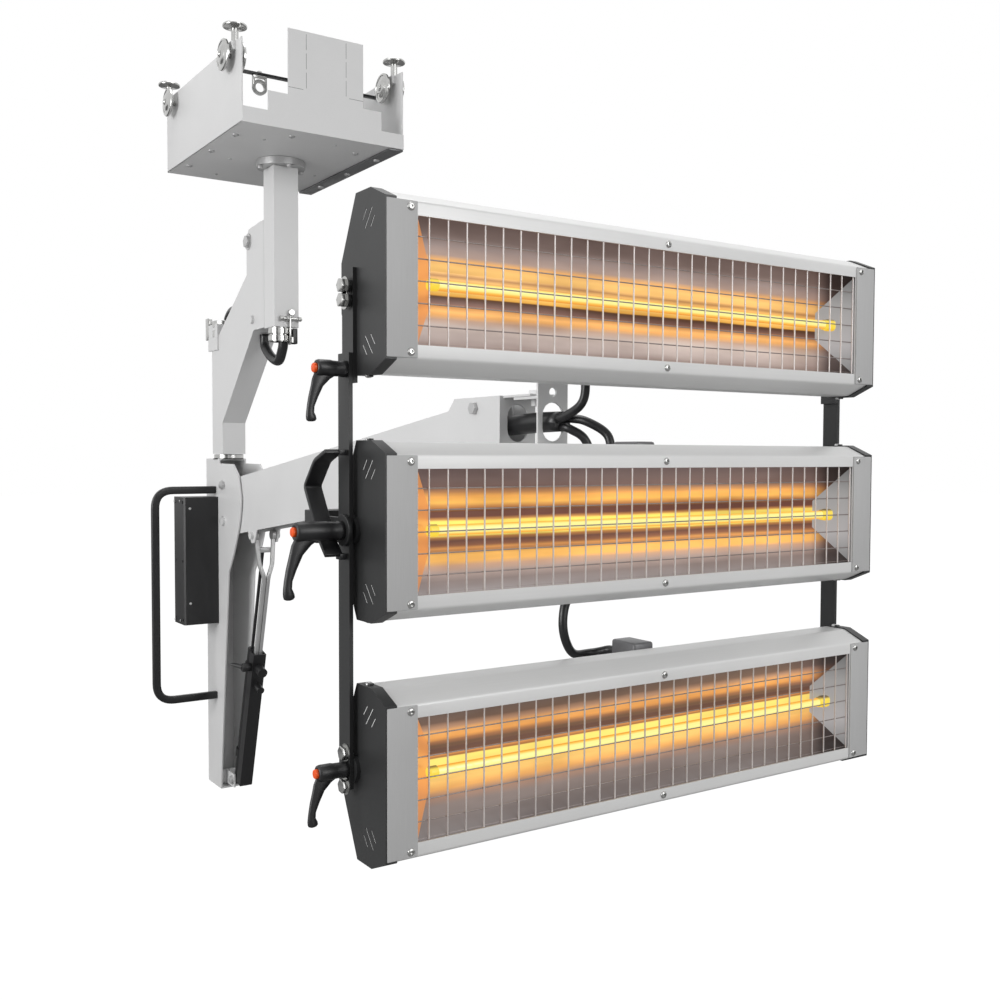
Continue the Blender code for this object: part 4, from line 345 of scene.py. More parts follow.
def roundedCopy(name, nodeName, coat, swell, smooth=60, rides=True, cut=(), stands=True):
    # a CAD tube again with a round section: its sides are subdivided, and moved out by what that takes away
    bm = mergedCopy(nodeName, False)
    for place, away in cut:
        planeCut(bm, place, away, dist=0.00001, clear_outer=True)
    bmesh.ops.join_triangles(
        bm, faces=bm.faces, angle_face_threshold=math.radians(50), angle_shape_threshold=math.radians(70),
    )
    bm.normal_update()
    crease = bm.edges.layers.float.new("crease_edge")
    for edge in sharpEdges(bm.edges, 62):
        edge[crease] = 1.0
    for vertex in bm.verts:
        if not any(edge[crease] > 0 for edge in vertex.link_edges):
            vertex.co += vertex.normal * swell
    piece = newPiece(name, bm, coat, rides and bodyOf(nodeName), [nodeName] if stands else (), smooth)
    modifier = piece.modifiers.new("Round", "SUBSURF")
    modifier.levels = 2
    modifier.render_levels = 2
    return piece


def settle(piece):
    # a blend needs the final mesh, so the modifiers' result becomes the mesh
    graph = bpy.context.evaluated_depsgraph_get()
    mesh = bpy.data.meshes.new_from_object(piece.evaluated_get(graph))
    piece.modifiers.clear()
    piece.data = mesh


def turnAbout(axis):
    return {
        "x": Matrix.Rotation(math.radians(90), 4, "Y"),
        "y": Matrix.Rotation(math.radians(-90), 4, "X"),
        "z": Matrix.Identity(4),
    }[axis]


def addTurned(bm, profile, axis, centre, steps=40):
    # profile: (radius, place along the axis), from one end of the axis to the other
    way = turnAbout(axis).to_3x3() @ Vector((0, 0, 1))
    side = turnAbout(axis).to_3x3() @ Vector((1, 0, 0))
    start = Vector(centre)
    verts = [bm.verts.new(start + way * along + side * radius) for radius, along in profile]
    edges = [bm.edges.new((a, b)) for a, b in zip(verts, verts[1:])]
    before = set(bm.verts) - set(verts)
    bmesh.ops.spin(
        bm, geom=verts + edges, cent=start, axis=way, angle=math.tau, steps=steps,
        use_merge=True, use_duplicate=False,
    )
    fresh = [v for v in bm.verts if v not in before]
    bmesh.ops.remove_doubles(bm, verts=fresh, dist=0.00001)
    fresh = [v for v in bm.verts if v not in before]
    faces = list({f for v in fresh for f in v.link_faces})
    bmesh.ops.recalc_face_normals(bm, faces=faces)


def addBlock(bm, low, high, bevel=0.0005, segments=2):
    middle = (Vector(low) + Vector(high)) / 2
    size = Vector(high) - Vector(low)
    matrix = Matrix.Translation(middle) @ Matrix.Diagonal((*size, 1))
    verts = bmesh.ops.create_cube(bm, size=1.0, matrix=matrix)["verts"]
    edges = list({e for v in verts for e in v.link_edges})
    if bevel:
        breakEdges(bm, edges, bevel, segments)


def addRod(bm, start, end, radius, segments=8):
    start = Vector(start)
    end = Vector(end)
    run = end - start
    matrix = Matrix.Translation((start + end) / 2) @ run.to_track_quat("Z", "Y").to_matrix().to_4x4()
    bmesh.ops.create_cone(
        bm, cap_ends=True, segments=segments, radius1=radius, radius2=radius, depth=run.length, matrix=matrix,
    )


def addLoft(bm, rings, segments=16):
    # rings: matrices that place a unit circle; neighbours are bridged and the ends filled
    loops = []
    for matrix in rings:
        ring = bmesh.ops.create_circle(bm, cap_ends=False, segments=segments, radius=1.0, matrix=matrix)
        loops.append(list({e for v in ring["verts"] for e in v.link_edges}))
    for near, far in zip(loops, loops[1:]):
        bmesh.ops.bridge_loops(bm, edges=near + far)
    bmesh.ops.holes_fill(bm, edges=loops[0] + loops[-1], sides=segments)
    faces = list({f for loop in loops for e in loop for f in e.link_faces})
    bmesh.ops.recalc_face_normals(bm, faces=faces)


def addBand(bm, route, side, halfSide, halfThick, bevel=0.001):
    # a flat bar swept along the route; side is the way its broad face runs across
    loops = []
    signs = ((-1, -1), (1, -1), (1, 1), (-1, 1))
    for i, point in enumerate(route):
        way = (route[min(i + 1, len(route) - 1)] - route[max(i - 1, 0)]).normalized()
        across = side.cross(way).normalized() * halfThick
        broad = way.cross(across).normalized() * halfSide
        corners = [bm.verts.new(point + broad * a + across * b) for a, b in signs]
        loops.append([bm.edges.new((corners[j], corners[(j + 1) % 4])) for j in range(4)])
    for near, far in zip(loops, loops[1:]):
        bmesh.ops.bridge_loops(bm, edges=near + far)
    bmesh.ops.holes_fill(bm, edges=loops[0] + loops[-1], sides=4)
    faces = list({f for loop in loops for e in loop for f in e.link_faces})
    bmesh.ops.recalc_face_normals(bm, faces=faces)
    edges = list({e for f in faces for e in f.edges})
    breakEdges(bm, sharpEdges(edges, 40), bevel, 3)


def rounded(points, reach, steps=3):
    # the route with each inner corner turned into a short arc
    route = [points[0]]
    for before, corner, after in zip(points, points[1:], points[2:]):
        start = corner + (before - corner).normalized() * reach
        end = corner + (after - corner).normalized() * reach
        for i in range(steps + 1):
            t = i / steps
            route.append(start * (1 - t) ** 2 + corner * 2 * t * (1 - t) + end * t**2)
    route.append(points[-1])
    return route


def addHex(bm, axis, centre, radius, start, end, turn=0.0):
    way = turnAbout(axis)
    along = way.to_3x3() @ Vector((0, 0, 1))
    matrix = (
        Matrix.Translation(Vector(centre) + along * (start + end) / 2) @ way
        @ Matrix.Rotation(math.radians(turn), 4, "Z")
    )
    verts = bmesh.ops.create_cone(
        bm, cap_ends=True, segments=6, radius1=radius, radius2=radius, depth=abs(end - start), matrix=matrix,
    )["verts"]
    edges = list({e for v in verts for e in v.link_edges})
    breakEdges(bm, edges, radius * 0.09)


def buttonHead(radius, height, direction):
    # a domed head with its socket, standing out along the axis
    shape = [
        (0, 0.30), (0.38, 0.30), (0.40, 0.98), (0.46, 1.0), (0.72, 0.86), (0.90, 0.60), (1.0, 0.22),
        (1.0, -0.2), (0, -0.2),
    ]
    return [(r * radius, a * height * direction) for r, a in shape]


# camera, floor, light
cameraSettings = {
    "place": (-1.0027, -2.4087, -0.7863), "yaw": 33.78, "pitch": -2.32, "roll": 0.18,
    "focalPixels": 1102.6, "framePixels": 1000, "sensor": 36.0,
}
yaw = math.radians(cameraSettings["yaw"])
pitch = math.radians(cameraSettings["pitch"])
roll = math.radians(cameraSettings["roll"])
ahead = Vector((math.sin(yaw) * math.cos(pitch), math.cos(yaw) * math.cos(pitch), math.sin(pitch)))
level = Vector((math.cos(yaw), -math.sin(yaw), 0))
upright = level.cross(ahead)
rightWay = level * math.cos(roll) + upright * math.sin(roll)
upWay = upright * math.cos(roll) - level * math.sin(roll)
cameraData = bpy.data.cameras.new("photoCamera")
cameraData.sensor_width = cameraSettings["sensor"]
cameraData.lens = cameraSettings["sensor"] * cameraSettings["focalPixels"] / cameraSettings["framePixels"]
cameraData.clip_end = 60
camera = bpy.data.objects.new("photoCamera", cameraData)
cameraTurn = Matrix((rightWay, upWay, -ahead)).transposed().to_4x4()
camera.matrix_world = Matrix.Translation(cameraSettings["place"]) @ cameraTurn
bpy.context.scene.collection.objects.link(camera)
bpy.context.scene.camera = camera
bpy.context.scene.view_settings.view_transform = "Standard"

studio = {
    "floorHeight": -1.95, "floorSize": 30.0, "floorColour": 0.36, "floorGlow": 1.12, "glowShare": 0.90,
    "skyDiffuse": 0.46, "skyGloss": 1.0, "cardColour": 0.02,
    "lamps": [
        # place, aim, size, power
        ((-4.3, -0.9, -0.2), (-0.1, -0.4, -0.7), 2.2, 114),
        ((1.2, -5.2, 0.4), (0.1, -1.0, -0.8), 2.4, 82),
        ((0.5, 0.3, 3.4), (0.0, -0.5, -0.6), 2.6, 74),
    ],
    "cards": [
        # dark cards outside the picture, for the bright metal to mirror: centre, turn about z, half width
        ((-3.6, -4.2, -0.2), 40, 1.0), ((3.4, -4.4, 0.4), -40, 0.9),
    ],
}


def makeWorld():
    world = bpy.data.worlds.new("studio")
    bpy.context.scene.world = world
    world.use_nodes = True
    tree = world.node_tree
    rays = nodeOf(tree, "ShaderNodeLightPath").outputs
    mirrored = mathOf(tree, "MAXIMUM", rays["Is Glossy Ray"], rays["Is Transmission Ray"])
    sky = rangeOf(tree, mirrored, 0.0, 1.0, studio["skyDiffuse"], studio["skyGloss"])
    background = tree.nodes["Background"]
    tree.links.new(mathOf(tree, "MAXIMUM", rays["Is Camera Ray"], sky), background.inputs["Strength"])
    background.inputs["Color"].default_value = (1, 1, 1, 1)


def plainPlane(name, matrix, half, coat):
    bm = bmesh.new()
    bmesh.ops.create_grid(bm, x_segments=1, y_segments=1, size=half, matrix=matrix)
    mesh = bpy.data.meshes.new(name)
    bm.to_mesh(mesh)
    bm.free()
    mesh.materials.append(coat)
    plane = bpy.data.objects.new(name, mesh)
    bpy.context.scene.collection.objects.link(plane)
    return plane


def makeFloor():
    coat = bpy.data.materials.new("paleFloor")
    coat.use_nodes = True
    tree = coat.node_tree
    shader = tree.nodes["Principled BSDF"]
    shader.inputs["Base Color"].default_value = (studio["floorColour"],) * 3 + (1,)
    shader.inputs["Roughness"].default_value = 0.9
    shader.inputs["Specular IOR Level"].default_value = 0.0
    glow = nodeOf(tree, "ShaderNodeEmission", Strength=studio["floorGlow"])
    rays = nodeOf(tree, "ShaderNodeLightPath").outputs
    blend = nodeOf(tree, "ShaderNodeMixShader")
    share = mathOf(tree, "MULTIPLY", rays["Is Camera Ray"], studio["glowShare"])
    tree.links.new(share, blend.inputs["Fac"])
    tree.links.new(shader.outputs["BSDF"], blend.inputs[1])
    tree.links.new(glow.outputs["Emission"], blend.inputs[2])
    tree.links.new(blend.outputs["Shader"], tree.nodes["Material Output"].inputs["Surface"])
    floor = plainPlane("floor", Matrix.Translation((0, 0, studio["floorHeight"])), studio["floorSize"], coat)


def makeCards():
    dark = bpy.data.materials.new("darkCard")
    dark.use_nodes = True
    colour = (studio["cardColour"],) * 3 + (1,)
    dark.node_tree.nodes["Principled BSDF"].inputs["Base Color"].default_value = colour
    for i, (centre, turn, half) in enumerate(studio["cards"]):
        stand = Matrix.Rotation(math.radians(turn), 4, "Z") @ Matrix.Rotation(math.radians(90), 4, "Y")
        card = plainPlane(f"card{i + 1}", Matrix.Translation(centre) @ stand, half, dark)
        card.visible_camera = False
        card.visible_shadow = False
        card.visible_diffuse = False


def makeLamps():
    for i, (place, aim, size, power) in enumerate(studio["lamps"]):
        lamp = bpy.data.lights.new(f"softbox{i + 1}", "AREA")
        lamp.shape = "SQUARE"
        lamp.size = size
        lamp.energy = power
        holder = bpy.data.objects.new(f"softbox{i + 1}", lamp)
        turn = (Vector(aim) - Vector(place)).to_track_quat("-Z", "Y").to_matrix().to_4x4()
        holder.matrix_world = Matrix.Translation(place) @ turn
        bpy.context.scene.collection.objects.link(holder)


makeWorld()
makeFloor()
makeCards()
makeLamps()
print("camera and studio set")

# sheet metal, castings and bars that keep their CAD shape, with broken edges
edged = {
    "column_tube": (0.0018, "paint"), "crank_beam": (0.0016, "paint"), "foot_clamp": (0.0008, "satinZinc"),
    "post_frame": (0.0008, "paint"), "arm_beam": (0.0009, "paint"), "level_link": (0.0006, "satinZinc"),
    "strut_tube": (0.0007, "darkSteel"), "wrist_bracket": (0.0008, "paint"),
    "head_bracket": (0.0008, "paint"), "control_box": (0.0012, "blackPlastic"),
    "yoke_beam": (0.0009, "powderCoat"), "left_bar": (0.0007, "powderCoat"),
    "right_bar": (0.0007, "powderCoat"), "upper_pivot_bolt": (0.0007, "satinZinc"),
    "wrist_bolt": (0.0007, "satinZinc"), "gas_cylinder": (0.0006, "darkSteel"),
    "gas_rod": (0.0004, "darkSteel"), "swivel_flange": (0.0010, "satinZinc"),
}


def camel(nodeName, ending=""):
    first, *rest = nodeName.split("_")
    return first + "".join(word.capitalize() for word in rest) + ending


for nodeName, (width, coat) in edged.items():
    edgedCopy(camel(nodeName, "Finish"), nodeName, width, coat)
print("edged copies made:", len(edged))

# the two hoses, with a round section
hoses = {"column_hose": 0.0010, "crank_hose": 0.0010}
for nodeName, swell in hoses.items():
    roundedCopy(camel(nodeName, "Round"), nodeName, "rubber", swell)

# cables that cross a joint: each stretch lies between two bodies, from start to end
topSplit = Vector((0.004, -1.130, -0.655))
bottomSplit = Vector((-0.020, -1.122, -1.000))
down = Vector((0, 0, -1))
stretches = [
    # piece, node, swell, cut away beyond, bodies, start, end, stands for its node
    (
        "cableBundleRound", "cable_bundle", 0.0014, [], ("wrist", "yoke"),
        (0, -0.985, -0.735), (0, -1.062, -0.735), True,
    ),
    (
        "cableMiddleRound", "cable_middle", 0.0006, [], ("yoke", "head"),
        (0, -1.095, -0.735), (0.02, -1.142, -0.785), True,
    ),
    (
        "cableTopRound", "cable_top", 0.0006, [(topSplit, -down)], ("yoke", "head"),
        (0, -1.090, -0.730), topSplit, True,
    ),
    (
        "cableTopUpper", "cable_top", 0.0006, [(topSplit, down)], ("head", "top_cassette"),
        topSplit, (0.040, -1.146, -0.512), False,
    ),
    (
        "cableBottomRound", "cable_bottom", 0.0006, [(bottomSplit, down)], ("yoke", "head"),
        (0.041, -1.109, -0.897), bottomSplit, True,
    ),
    (
        "cableBottomLower", "cable_bottom", 0.0006, [(bottomSplit, -down)], ("head", "bottom_cassette"),
        bottomSplit, (0.036, -1.150, -1.074), False,
    ),
]
for name, nodeName, swell, cut, bodies, start, end, stands in stretches:
    piece = roundedCopy(name, nodeName, "rubber", swell, rides=False, cut=cut, stands=stands)
    settle(piece)
    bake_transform(piece)
print("tubes made:", len(hoses) + len(stretches))

# trolley: wheels, guide rollers, screws and perforated folds
railWheel = {
    "radius": 0.032, "width": 0.010, "standoff": 0.0155, "hub": 0.013, "axle": 0.006, "rim": 0.026,
    "nutRadius": 0.0082,
}


def makeRailWheel(nodeName):
    low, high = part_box(nodeName)
    centre = (low + high) / 2
    size = railWheel
    out = size["standoff"]
    full = (high.x - low.x) / 2
    bm = bmesh.new()
    for side in (-1, 1):
        profile = [
            (size["axle"], out), (size["radius"] - 0.0008, out), (size["radius"], out + 0.0008),
            (size["radius"], out + size["width"] * 0.42),
            (size["radius"] - 0.0010, out + size["width"] * 0.52),
            (size["rim"] + 0.0015, out + size["width"] * 0.60), (size["rim"], out + size["width"] * 0.50),
            (size["rim"] - 0.003, out + size["width"] * 0.52),
            (size["hub"] + 0.006, out + size["width"] * 0.78), (size["hub"] + 0.001, out + size["width"]),
            (size["hub"] - 0.001, out + size["width"] * 1.05), (size["axle"], out + size["width"] * 1.05),
        ]
        addTurned(bm, [(r, a * side) for r, a in profile], "x", centre, 48)
    addTurned(bm, [
        (0, -full), (size["axle"] - 0.0015, -full), (size["axle"] - 0.0006, -full + 0.0008),
        (size["axle"] - 0.0006, full - 0.0008), (size["axle"] - 0.0015, full), (0, full),
    ], "x", centre, 24)
    for side in (-1, 1):
        start = side * (out + size["width"] * 1.04)
        addHex(bm, "x", centre, size["nutRadius"], start, side * (full - 0.0012), 15)
    newPiece(camel(nodeName, "Turned"), bm, "zinc", bodyOf(nodeName), [nodeName])


guideRoller = {"head": 0.025, "stem": 0.0075, "neck": 0.0045}


def makeGuideRoller(nodeName):
    low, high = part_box(nodeName)
    centre = Vector(((low.x + high.x) / 2, (low.y + high.y) / 2, 0))
    size = guideRoller
    top = high.z
    under = top - 0.012
    boxTop = low.z + 0.014
    profile = [
        (0, low.z), (size["neck"] - 0.0006, low.z), (size["neck"], low.z + 0.0008), (size["neck"], boxTop),
        (size["stem"], boxTop + 0.0004), (size["stem"], under - 0.0008), (size["stem"] + 0.0012, under),
        (size["head"] * 0.82, under + 0.0012), (size["head"] * 0.97, under + 0.0020),
        (size["head"], under + 0.0034), (size["head"], under + 0.0052),
        (size["head"] * 0.97, under + 0.0066), (size["head"] * 0.86, under + 0.0086),
        (size["head"] * 0.66, under + 0.0104), (size["head"] * 0.40, under + 0.0116), (0, top),
    ]
    bm = bmesh.new()
    addTurned(bm, profile, "z", centre, 48)
    newPiece(camel(nodeName, "Turned"), bm, "zinc", bodyOf(nodeName), [nodeName])


for side in ("left", "right"):
    for end in ("front", "rear"):
        makeRailWheel(f"rail_wheel_{end}_{side}")
        makeGuideRoller(f"guide_roller_{end}_{side}")

trolley = {
    "halfX": 0.185, "halfY": 0.245, "bottom": -0.115, "top": 0.055, "sheet": 0.003, "lipTop": -0.083,
    "strip": 0.034, "stripDrop": 0.004, "guideX": 0.1835, "guideY": (-0.2055, 0.2305), "boss": 0.010,
    "bossHeight": 0.018, "bevel": 0.0007,
    "plate": [
        (-0.185, -0.115), (0.185, -0.115), (0.185, -0.083), (0.130, -0.083), (0.130, -0.043),
        (0.086, -0.043), (0.086, 0.092), (-0.086, 0.092), (-0.086, -0.043), (-0.130, -0.043),
        (-0.130, -0.083), (-0.185, -0.083),
    ],
    "plateY": (-0.2483, -0.2453), "plateBevel": 0.0006,
    "screws": [
        (-0.163, -0.150), (-0.163, 0.0), (-0.163, 0.150), (0.168, -0.150), (0.168, 0.0), (0.168, 0.150),
        (-0.060, -0.205), (0.110, -0.160),
    ],
    "screwRadius": 0.0072, "screwHeight": 0.0036,
    "studs": [
        (-0.100, -0.150), (0.045, -0.195), (-0.105, 0.040), (0.115, 0.070), (-0.085, 0.190), (0.120, 0.200),
    ],
    "studRadius": 0.0036, "studHeight": 0.0022,
}


def makeTrolleyBox():
    size = trolley
    bm = bmesh.new()
    keys = ("halfX", "halfY", "bottom", "top", "sheet", "bevel")
    x, y, low, top, sheet, bevel = (size[key] for key in keys)
    addBlock(bm, (-x, -y, low), (x, y, low + sheet), bevel)
    addBlock(bm, (-x + sheet, y - sheet, low + sheet), (x - sheet, y, size["lipTop"]), bevel)
    for side in (-1, 1):
        near, far = sorted((side * (x - sheet), side * x))
        addBlock(bm, (near, -y, low), (far, y, top), bevel)
        for guideY in size["guideY"]:
            middle = side * size["guideX"]
            boss = size["boss"]
            addBlock(
                bm, (middle - boss, guideY - boss, top - size["bossHeight"]),
                (middle + boss, guideY + boss, top), 0.0015, 3,
            )
    newPiece("trolleyBoxSheet", bm, "paint", bodyOf("trolley_box"), ["trolley_box"])
    # the strip under the right edge is a real part; its dark grey coat is painted shade, standing for the
    # dark reflection on its face
    bm = bmesh.new()
    addBlock(bm, (x - size["strip"], -y, low - size["stripDrop"]), (x, y, low - 0.0001), 0.0006)
    newPiece("trolleyStripPaintedShade", bm, "castGrey", bodyOf("trolley_box"))
    bm = bmesh.new()
    for screwX, screwY in size["screws"]:
        base = low - (size["stripDrop"] if screwX > x - size["strip"] else 0)
        profile = buttonHead(size["screwRadius"], size["screwHeight"], -1)
        addTurned(bm, profile, "z", (screwX, screwY, base), 20)
    for studX, studY in size["studs"]:
        addTurned(bm, buttonHead(size["studRadius"], size["studHeight"], -1), "z", (studX, studY, low), 16)
    newPiece("trolleyScrews", bm, "satinZinc", bodyOf("trolley_box"))


def makeTonguePlate():
    near, far = trolley["plateY"]
    bm = bmesh.new()
    pushOut(bm, [(x, near, z) for x, z in trolley["plate"]], (0, far - near, 0))
    bmesh.ops.recalc_face_normals(bm, faces=bm.faces)
    bevelSharp(bm, trolley["plateBevel"])
    plate = newPiece("tonguePlateSheet", bm, "paint", bodyOf("front_tongue_plate"), ["front_tongue_plate"])
    flatShaded(plate)


makeTrolleyBox()
makeTonguePlate()

# tongue plate: punched fold lines
foldLines = {
    "x": 0.0455, "edge": 0.0855, "top": 0.090, "bottom": -0.028, "dashes": 3, "gap": 0.007, "width": 0.0010,
    "proud": 0.00006,
}


def makeFoldLines():
    low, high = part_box("front_tongue_plate")
    size = foldLines
    span = (size["top"] - size["bottom"]) / size["dashes"]
    half = size["width"] / 2
    bm = bmesh.new()
    for side in (-1, 1):
        for i in range(size["dashes"]):
            start = size["bottom"] + i * span + size["gap"] / 2
            addBlock(
                bm, (side * size["x"] - half, low.y - size["proud"], start),
                (side * size["x"] + half, low.y + 0.0004, start + span - size["gap"]), 0,
            )
        near, far = sorted((side * (size["x"] + size["gap"]), side * size["edge"]))
        addBlock(
            bm, (near, low.y - size["proud"], size["bottom"] - half),
            (far, low.y + 0.0004, size["bottom"] + half), 0,
        )
    newPiece("tongueFoldLines", bm, "castGrey", bodyOf("front_tongue_plate"))


makeFoldLines()

# cross bar with its cable eye
cableRail = {
    "y": -0.124, "z": 0.029, "halfWidth": 0.006, "halfHeight": 0.0025, "end": 0.1817, "eyeX": -0.099,
    "eyeZ": 0.001, "bore": 0.0098, "ring": 0.0165, "half": 0.004,
}


def makeCableRail():
    size = cableRail
    body = bodyOf("cable_rail")
    bm = bmesh.new()
    addBlock(
        bm, (-size["end"], size["y"] - size["halfWidth"], size["z"] - size["halfHeight"]),
        (size["end"], size["y"] + size["halfWidth"], size["z"] + size["halfHeight"]), 0.0006,
    )
    newPiece("cableRailBar", bm, "darkSteel", body, ["cable_rail"])
    bm = bmesh.new()
    bore, ring, half = size["bore"], size["ring"], size["half"]
    centre = (size["eyeX"], size["y"], size["eyeZ"])
    addTurned(bm, [
        (bore, -half + 0.001), (bore + 0.001, -half), (ring - 0.0015, -half), (ring, -half + 0.0015),
        (ring, half - 0.0015), (ring - 0.0015, half), (bore + 0.001, half), (bore, half - 0.001),
        (bore, -half + 0.001),
    ], "y", centre, 44)
    for side in (-1, 1):
        near, far = sorted((size["eyeX"] + side * (ring - 0.0052), size["eyeX"] + side * (ring - 0.0004)))
        addBlock(
            bm, (near, size["y"] - half + 0.0004, size["eyeZ"]),
            (far, size["y"] + half - 0.0004, size["z"] - size["halfHeight"]), 0.0012, 3,
        )
    addBlock(
        bm, (size["eyeX"] - ring + 0.0006, size["y"] - half, size["z"] - 0.0085),
        (size["eyeX"] + ring - 0.0006, size["y"] + half, size["z"] - size["halfHeight"]), 0.0012, 3,
    )
    addHex(bm, "z", (size["eyeX"], size["y"], size["z"]), 0.0055, 0.0024, 0.0060, 10)
    newPiece("cableEye", bm, "zinc", body)


makeCableRail()
print("trolley done")

# strap handle: one bowed band on two tabs
strap = {
    "inner": -0.440, "width": 0.022, "thickness": 0.005, "barFace": -0.4351,
    "route": [
        (-1.236, -0.904), (-1.2195, -0.8885), (-1.200, -0.860), (-1.176, -0.824), (-1.205, -0.793),
        (-1.236, -0.782),
    ],
}


def makeStrap():
    size = strap
    middle = size["inner"] - size["width"] / 2
    route = rounded([Vector((middle, y, z)) for y, z in size["route"]], 0.005)
    bm = bmesh.new()
    addBand(bm, route, Vector((1, 0, 0)), size["width"] / 2, size["thickness"] / 2, 0.0010)
    for y, z in (size["route"][0], size["route"][-1]):
        addBlock(
            bm, (size["inner"] - 0.004, y - 0.0024, z - 0.0050), (size["barFace"], y + 0.010, z + 0.0022),
            0.0008,
        )
    newPiece("tiltHandleStrap", bm, "blackPlastic", bodyOf("tilt_handle"), ["tilt_handle"], 30)


makeStrap()
print("strap handle done")

# clamp levers with their push buttons
lever = {
    # place on the arm, shift of its middle along x, half width, half depth
    "stations": [
        (0.00, 0.0150, 0.0110, 0.0054), (0.12, 0.0150, 0.0150, 0.0054), (0.20, 0.0085, 0.0118, 0.0054),
        (0.34, 0.0020, 0.0080, 0.0053), (0.55, -0.0040, 0.0062, 0.0050), (0.72, -0.0078, 0.0048, 0.0047),
        (0.83, -0.0086, 0.0050, 0.0049), (0.90, -0.0074, 0.0064, 0.0053), (0.955, -0.0068, 0.0066, 0.0053),
        (0.985, -0.0072, 0.0054, 0.0044), (1.0, -0.0076, 0.0028, 0.0026),
    ],
    # the top and bottom levers are smaller
    "top": {"arm": 0.062, "hub": 0.010, "scale": 0.80, "broad": 0.96},
    "middle": {"arm": 0.078, "hub": 0.0115, "scale": 1.0, "broad": 1.05},
    "bottom": {"arm": 0.062, "hub": 0.010, "scale": 0.80, "broad": 0.96},
    "button": 0.0056, "y": -1.231, "lean": {"top": 0.011, "middle": 0.014, "bottom": 0.011},
}


def makeLever(levelName):
    nodeName = f"{levelName}_lever"
    low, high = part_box(nodeName)
    size = lever[levelName]
    y = lever["y"]
    z = high.z - size["hub"]
    hub = size["hub"]
    bm = bmesh.new()
    outer = low.x + lever["lean"][levelName]
    inner = high.x
    bore = lever["button"] + 0.0004
    profile = [
        (bore, outer + 0.010), (bore, outer + 0.0004), (bore + 0.0008, outer), (hub - 0.0024, outer),
        (hub - 0.0008, outer + 0.0010), (hub, outer + 0.0036), (hub, inner - 0.020),
        (hub * 0.93, inner - 0.017), (hub * 0.90, inner - 0.007), (hub * 0.98, inner - 0.005),
        (hub * 0.98, inner - 0.0006), (hub * 0.92, inner), (0.0054, inner), (0.0054, inner - 0.010),
    ]
    addTurned(bm, profile, "x", (0, y, z), 40)
    rings = []
    for share, shift, halfX, halfY in lever["stations"]:
        k = size["scale"]
        place = Vector((outer + shift * k, y, z - size["arm"] * share))
        rings.append(Matrix.Translation(place) @ Matrix.Diagonal((halfX * size["broad"], halfY * k, 1, 1)))
    addLoft(bm, rings, 20)
    newPiece(camel(nodeName, "Moulded"), bm, "blackPlastic", bodyOf(nodeName), [nodeName], 50)

    buttonNode = f"{levelName}_lever_button"
    low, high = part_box(buttonNode)
    radius = lever["button"]
    bm = bmesh.new()
    addTurned(bm, [
        (0, low.x), (radius * 0.62, low.x + 0.0001), (radius * 0.88, low.x + 0.0005),
        (radius, low.x + 0.0014), (radius, high.x - 0.0004), (radius - 0.0004, high.x), (0, high.x),
    ], "x", (0, y, (low.z + high.z) / 2), 36)
    newPiece(camel(buttonNode, "Moulded"), bm, "orangePlastic", bodyOf(buttonNode), [buttonNode])


for levelName in levels:
    makeLever(levelName)
print("levers done")

# grab handle, strut, clamps and bolts of the arm
grab = {
    "x": -0.191, "top": -0.877, "bottom": -1.407, "corner": 0.045, "y": 0.351, "root": -0.036, "half": 0.0095,
    "depth": 0.0068,
}


def makeGrabHandle():
    size = grab
    points = [
        Vector((size["root"], size["y"], size["top"])), Vector((size["x"], size["y"], size["top"])),
        Vector((size["x"], size["y"], size["bottom"])), Vector((size["root"], size["y"], size["bottom"])),
    ]
    bm = bmesh.new()
    addBand(bm, rounded(points, size["corner"], 10), Vector((0, 1, 0)), size["depth"], size["half"], 0.0030)
    newPiece("grabHandleBar", bm, "blackPlastic", bodyOf("grab_handle"), ["grab_handle"], 30)


makeGrabHandle()

strut = {
    "foot": (0, 0.296, -1.620), "lug": (0, 0.111, -0.980), "offset": 0.038,
    # share of the strut's length, share of the offset, x: each leg's way out to the lug
    "leg": [
        (0.34, 1, 0.0052), (0.86, 1, 0.0052), (0.90, 0.72, 0.0160), (0.975, 0.22, 0.0205), (1.0, 0, 0.0215),
    ],
    "legBend": 0.008, "legHalfX": 0.0042, "legHalf": 0.0045, "eye": 0.0126, "eyeEdge": 0.0008,
    "bridgeShare": 0.945, "bridgeOffset": 0.004, "bridgeHalf": (0.018, 0.008, 0.006),
    "lockShare": 0.505, "hub": 0.0105, "hubStart": -0.0163, "hubLength": 0.022,
    "armLength": 0.075, "armInset": 0.0065, "drop": 0.35,
    # share of the arm, half width, half depth
    "arm": [
        (0.0, 0.0085, 0.0062), (0.3, 0.0075, 0.0054), (0.7, 0.0085, 0.0046), (0.94, 0.0100, 0.0040),
        (1.0, 0.0080, 0.0026),
    ],
}
strutRun = Vector(strut["lug"]) - Vector(strut["foot"])
strutWay = strutRun.normalized()
strutSide = Vector((0, -strutWay.z, strutWay.y))


def strutPlace(share, offset=0.0, x=0.0):
    return Vector((x, 0, 0)) + Vector(strut["foot"]) + strutRun * share + strutSide * offset


def makeStrutFork():
    size = strut
    thick, eye = size["legHalf"], size["eye"]
    rim = eye - size["eyeEdge"]
    bm = bmesh.new()
    for side in (-1, 1):
        points = [strutPlace(share, size["offset"] * out, side * x) for share, out, x in size["leg"]]
        route = rounded(points, size["legBend"])
        addBand(bm, route, Vector((1, 0, 0)), size["legHalfX"], thick, 0.0010)
        addTurned(bm, [
            (0, -thick), (rim, -thick), (eye, 0.001 - thick), (eye, thick - 0.001), (rim, thick), (0, thick),
        ], "x", points[-1], 32)
    middle = strutPlace(size["bridgeShare"], size["bridgeOffset"])
    half = Vector(size["bridgeHalf"])
    addBlock(bm, middle - half, middle + half, 0.001)
    newPiece("strutFork", bm, "satinZinc", bodyOf("strut_rod"), ["strut_rod"])


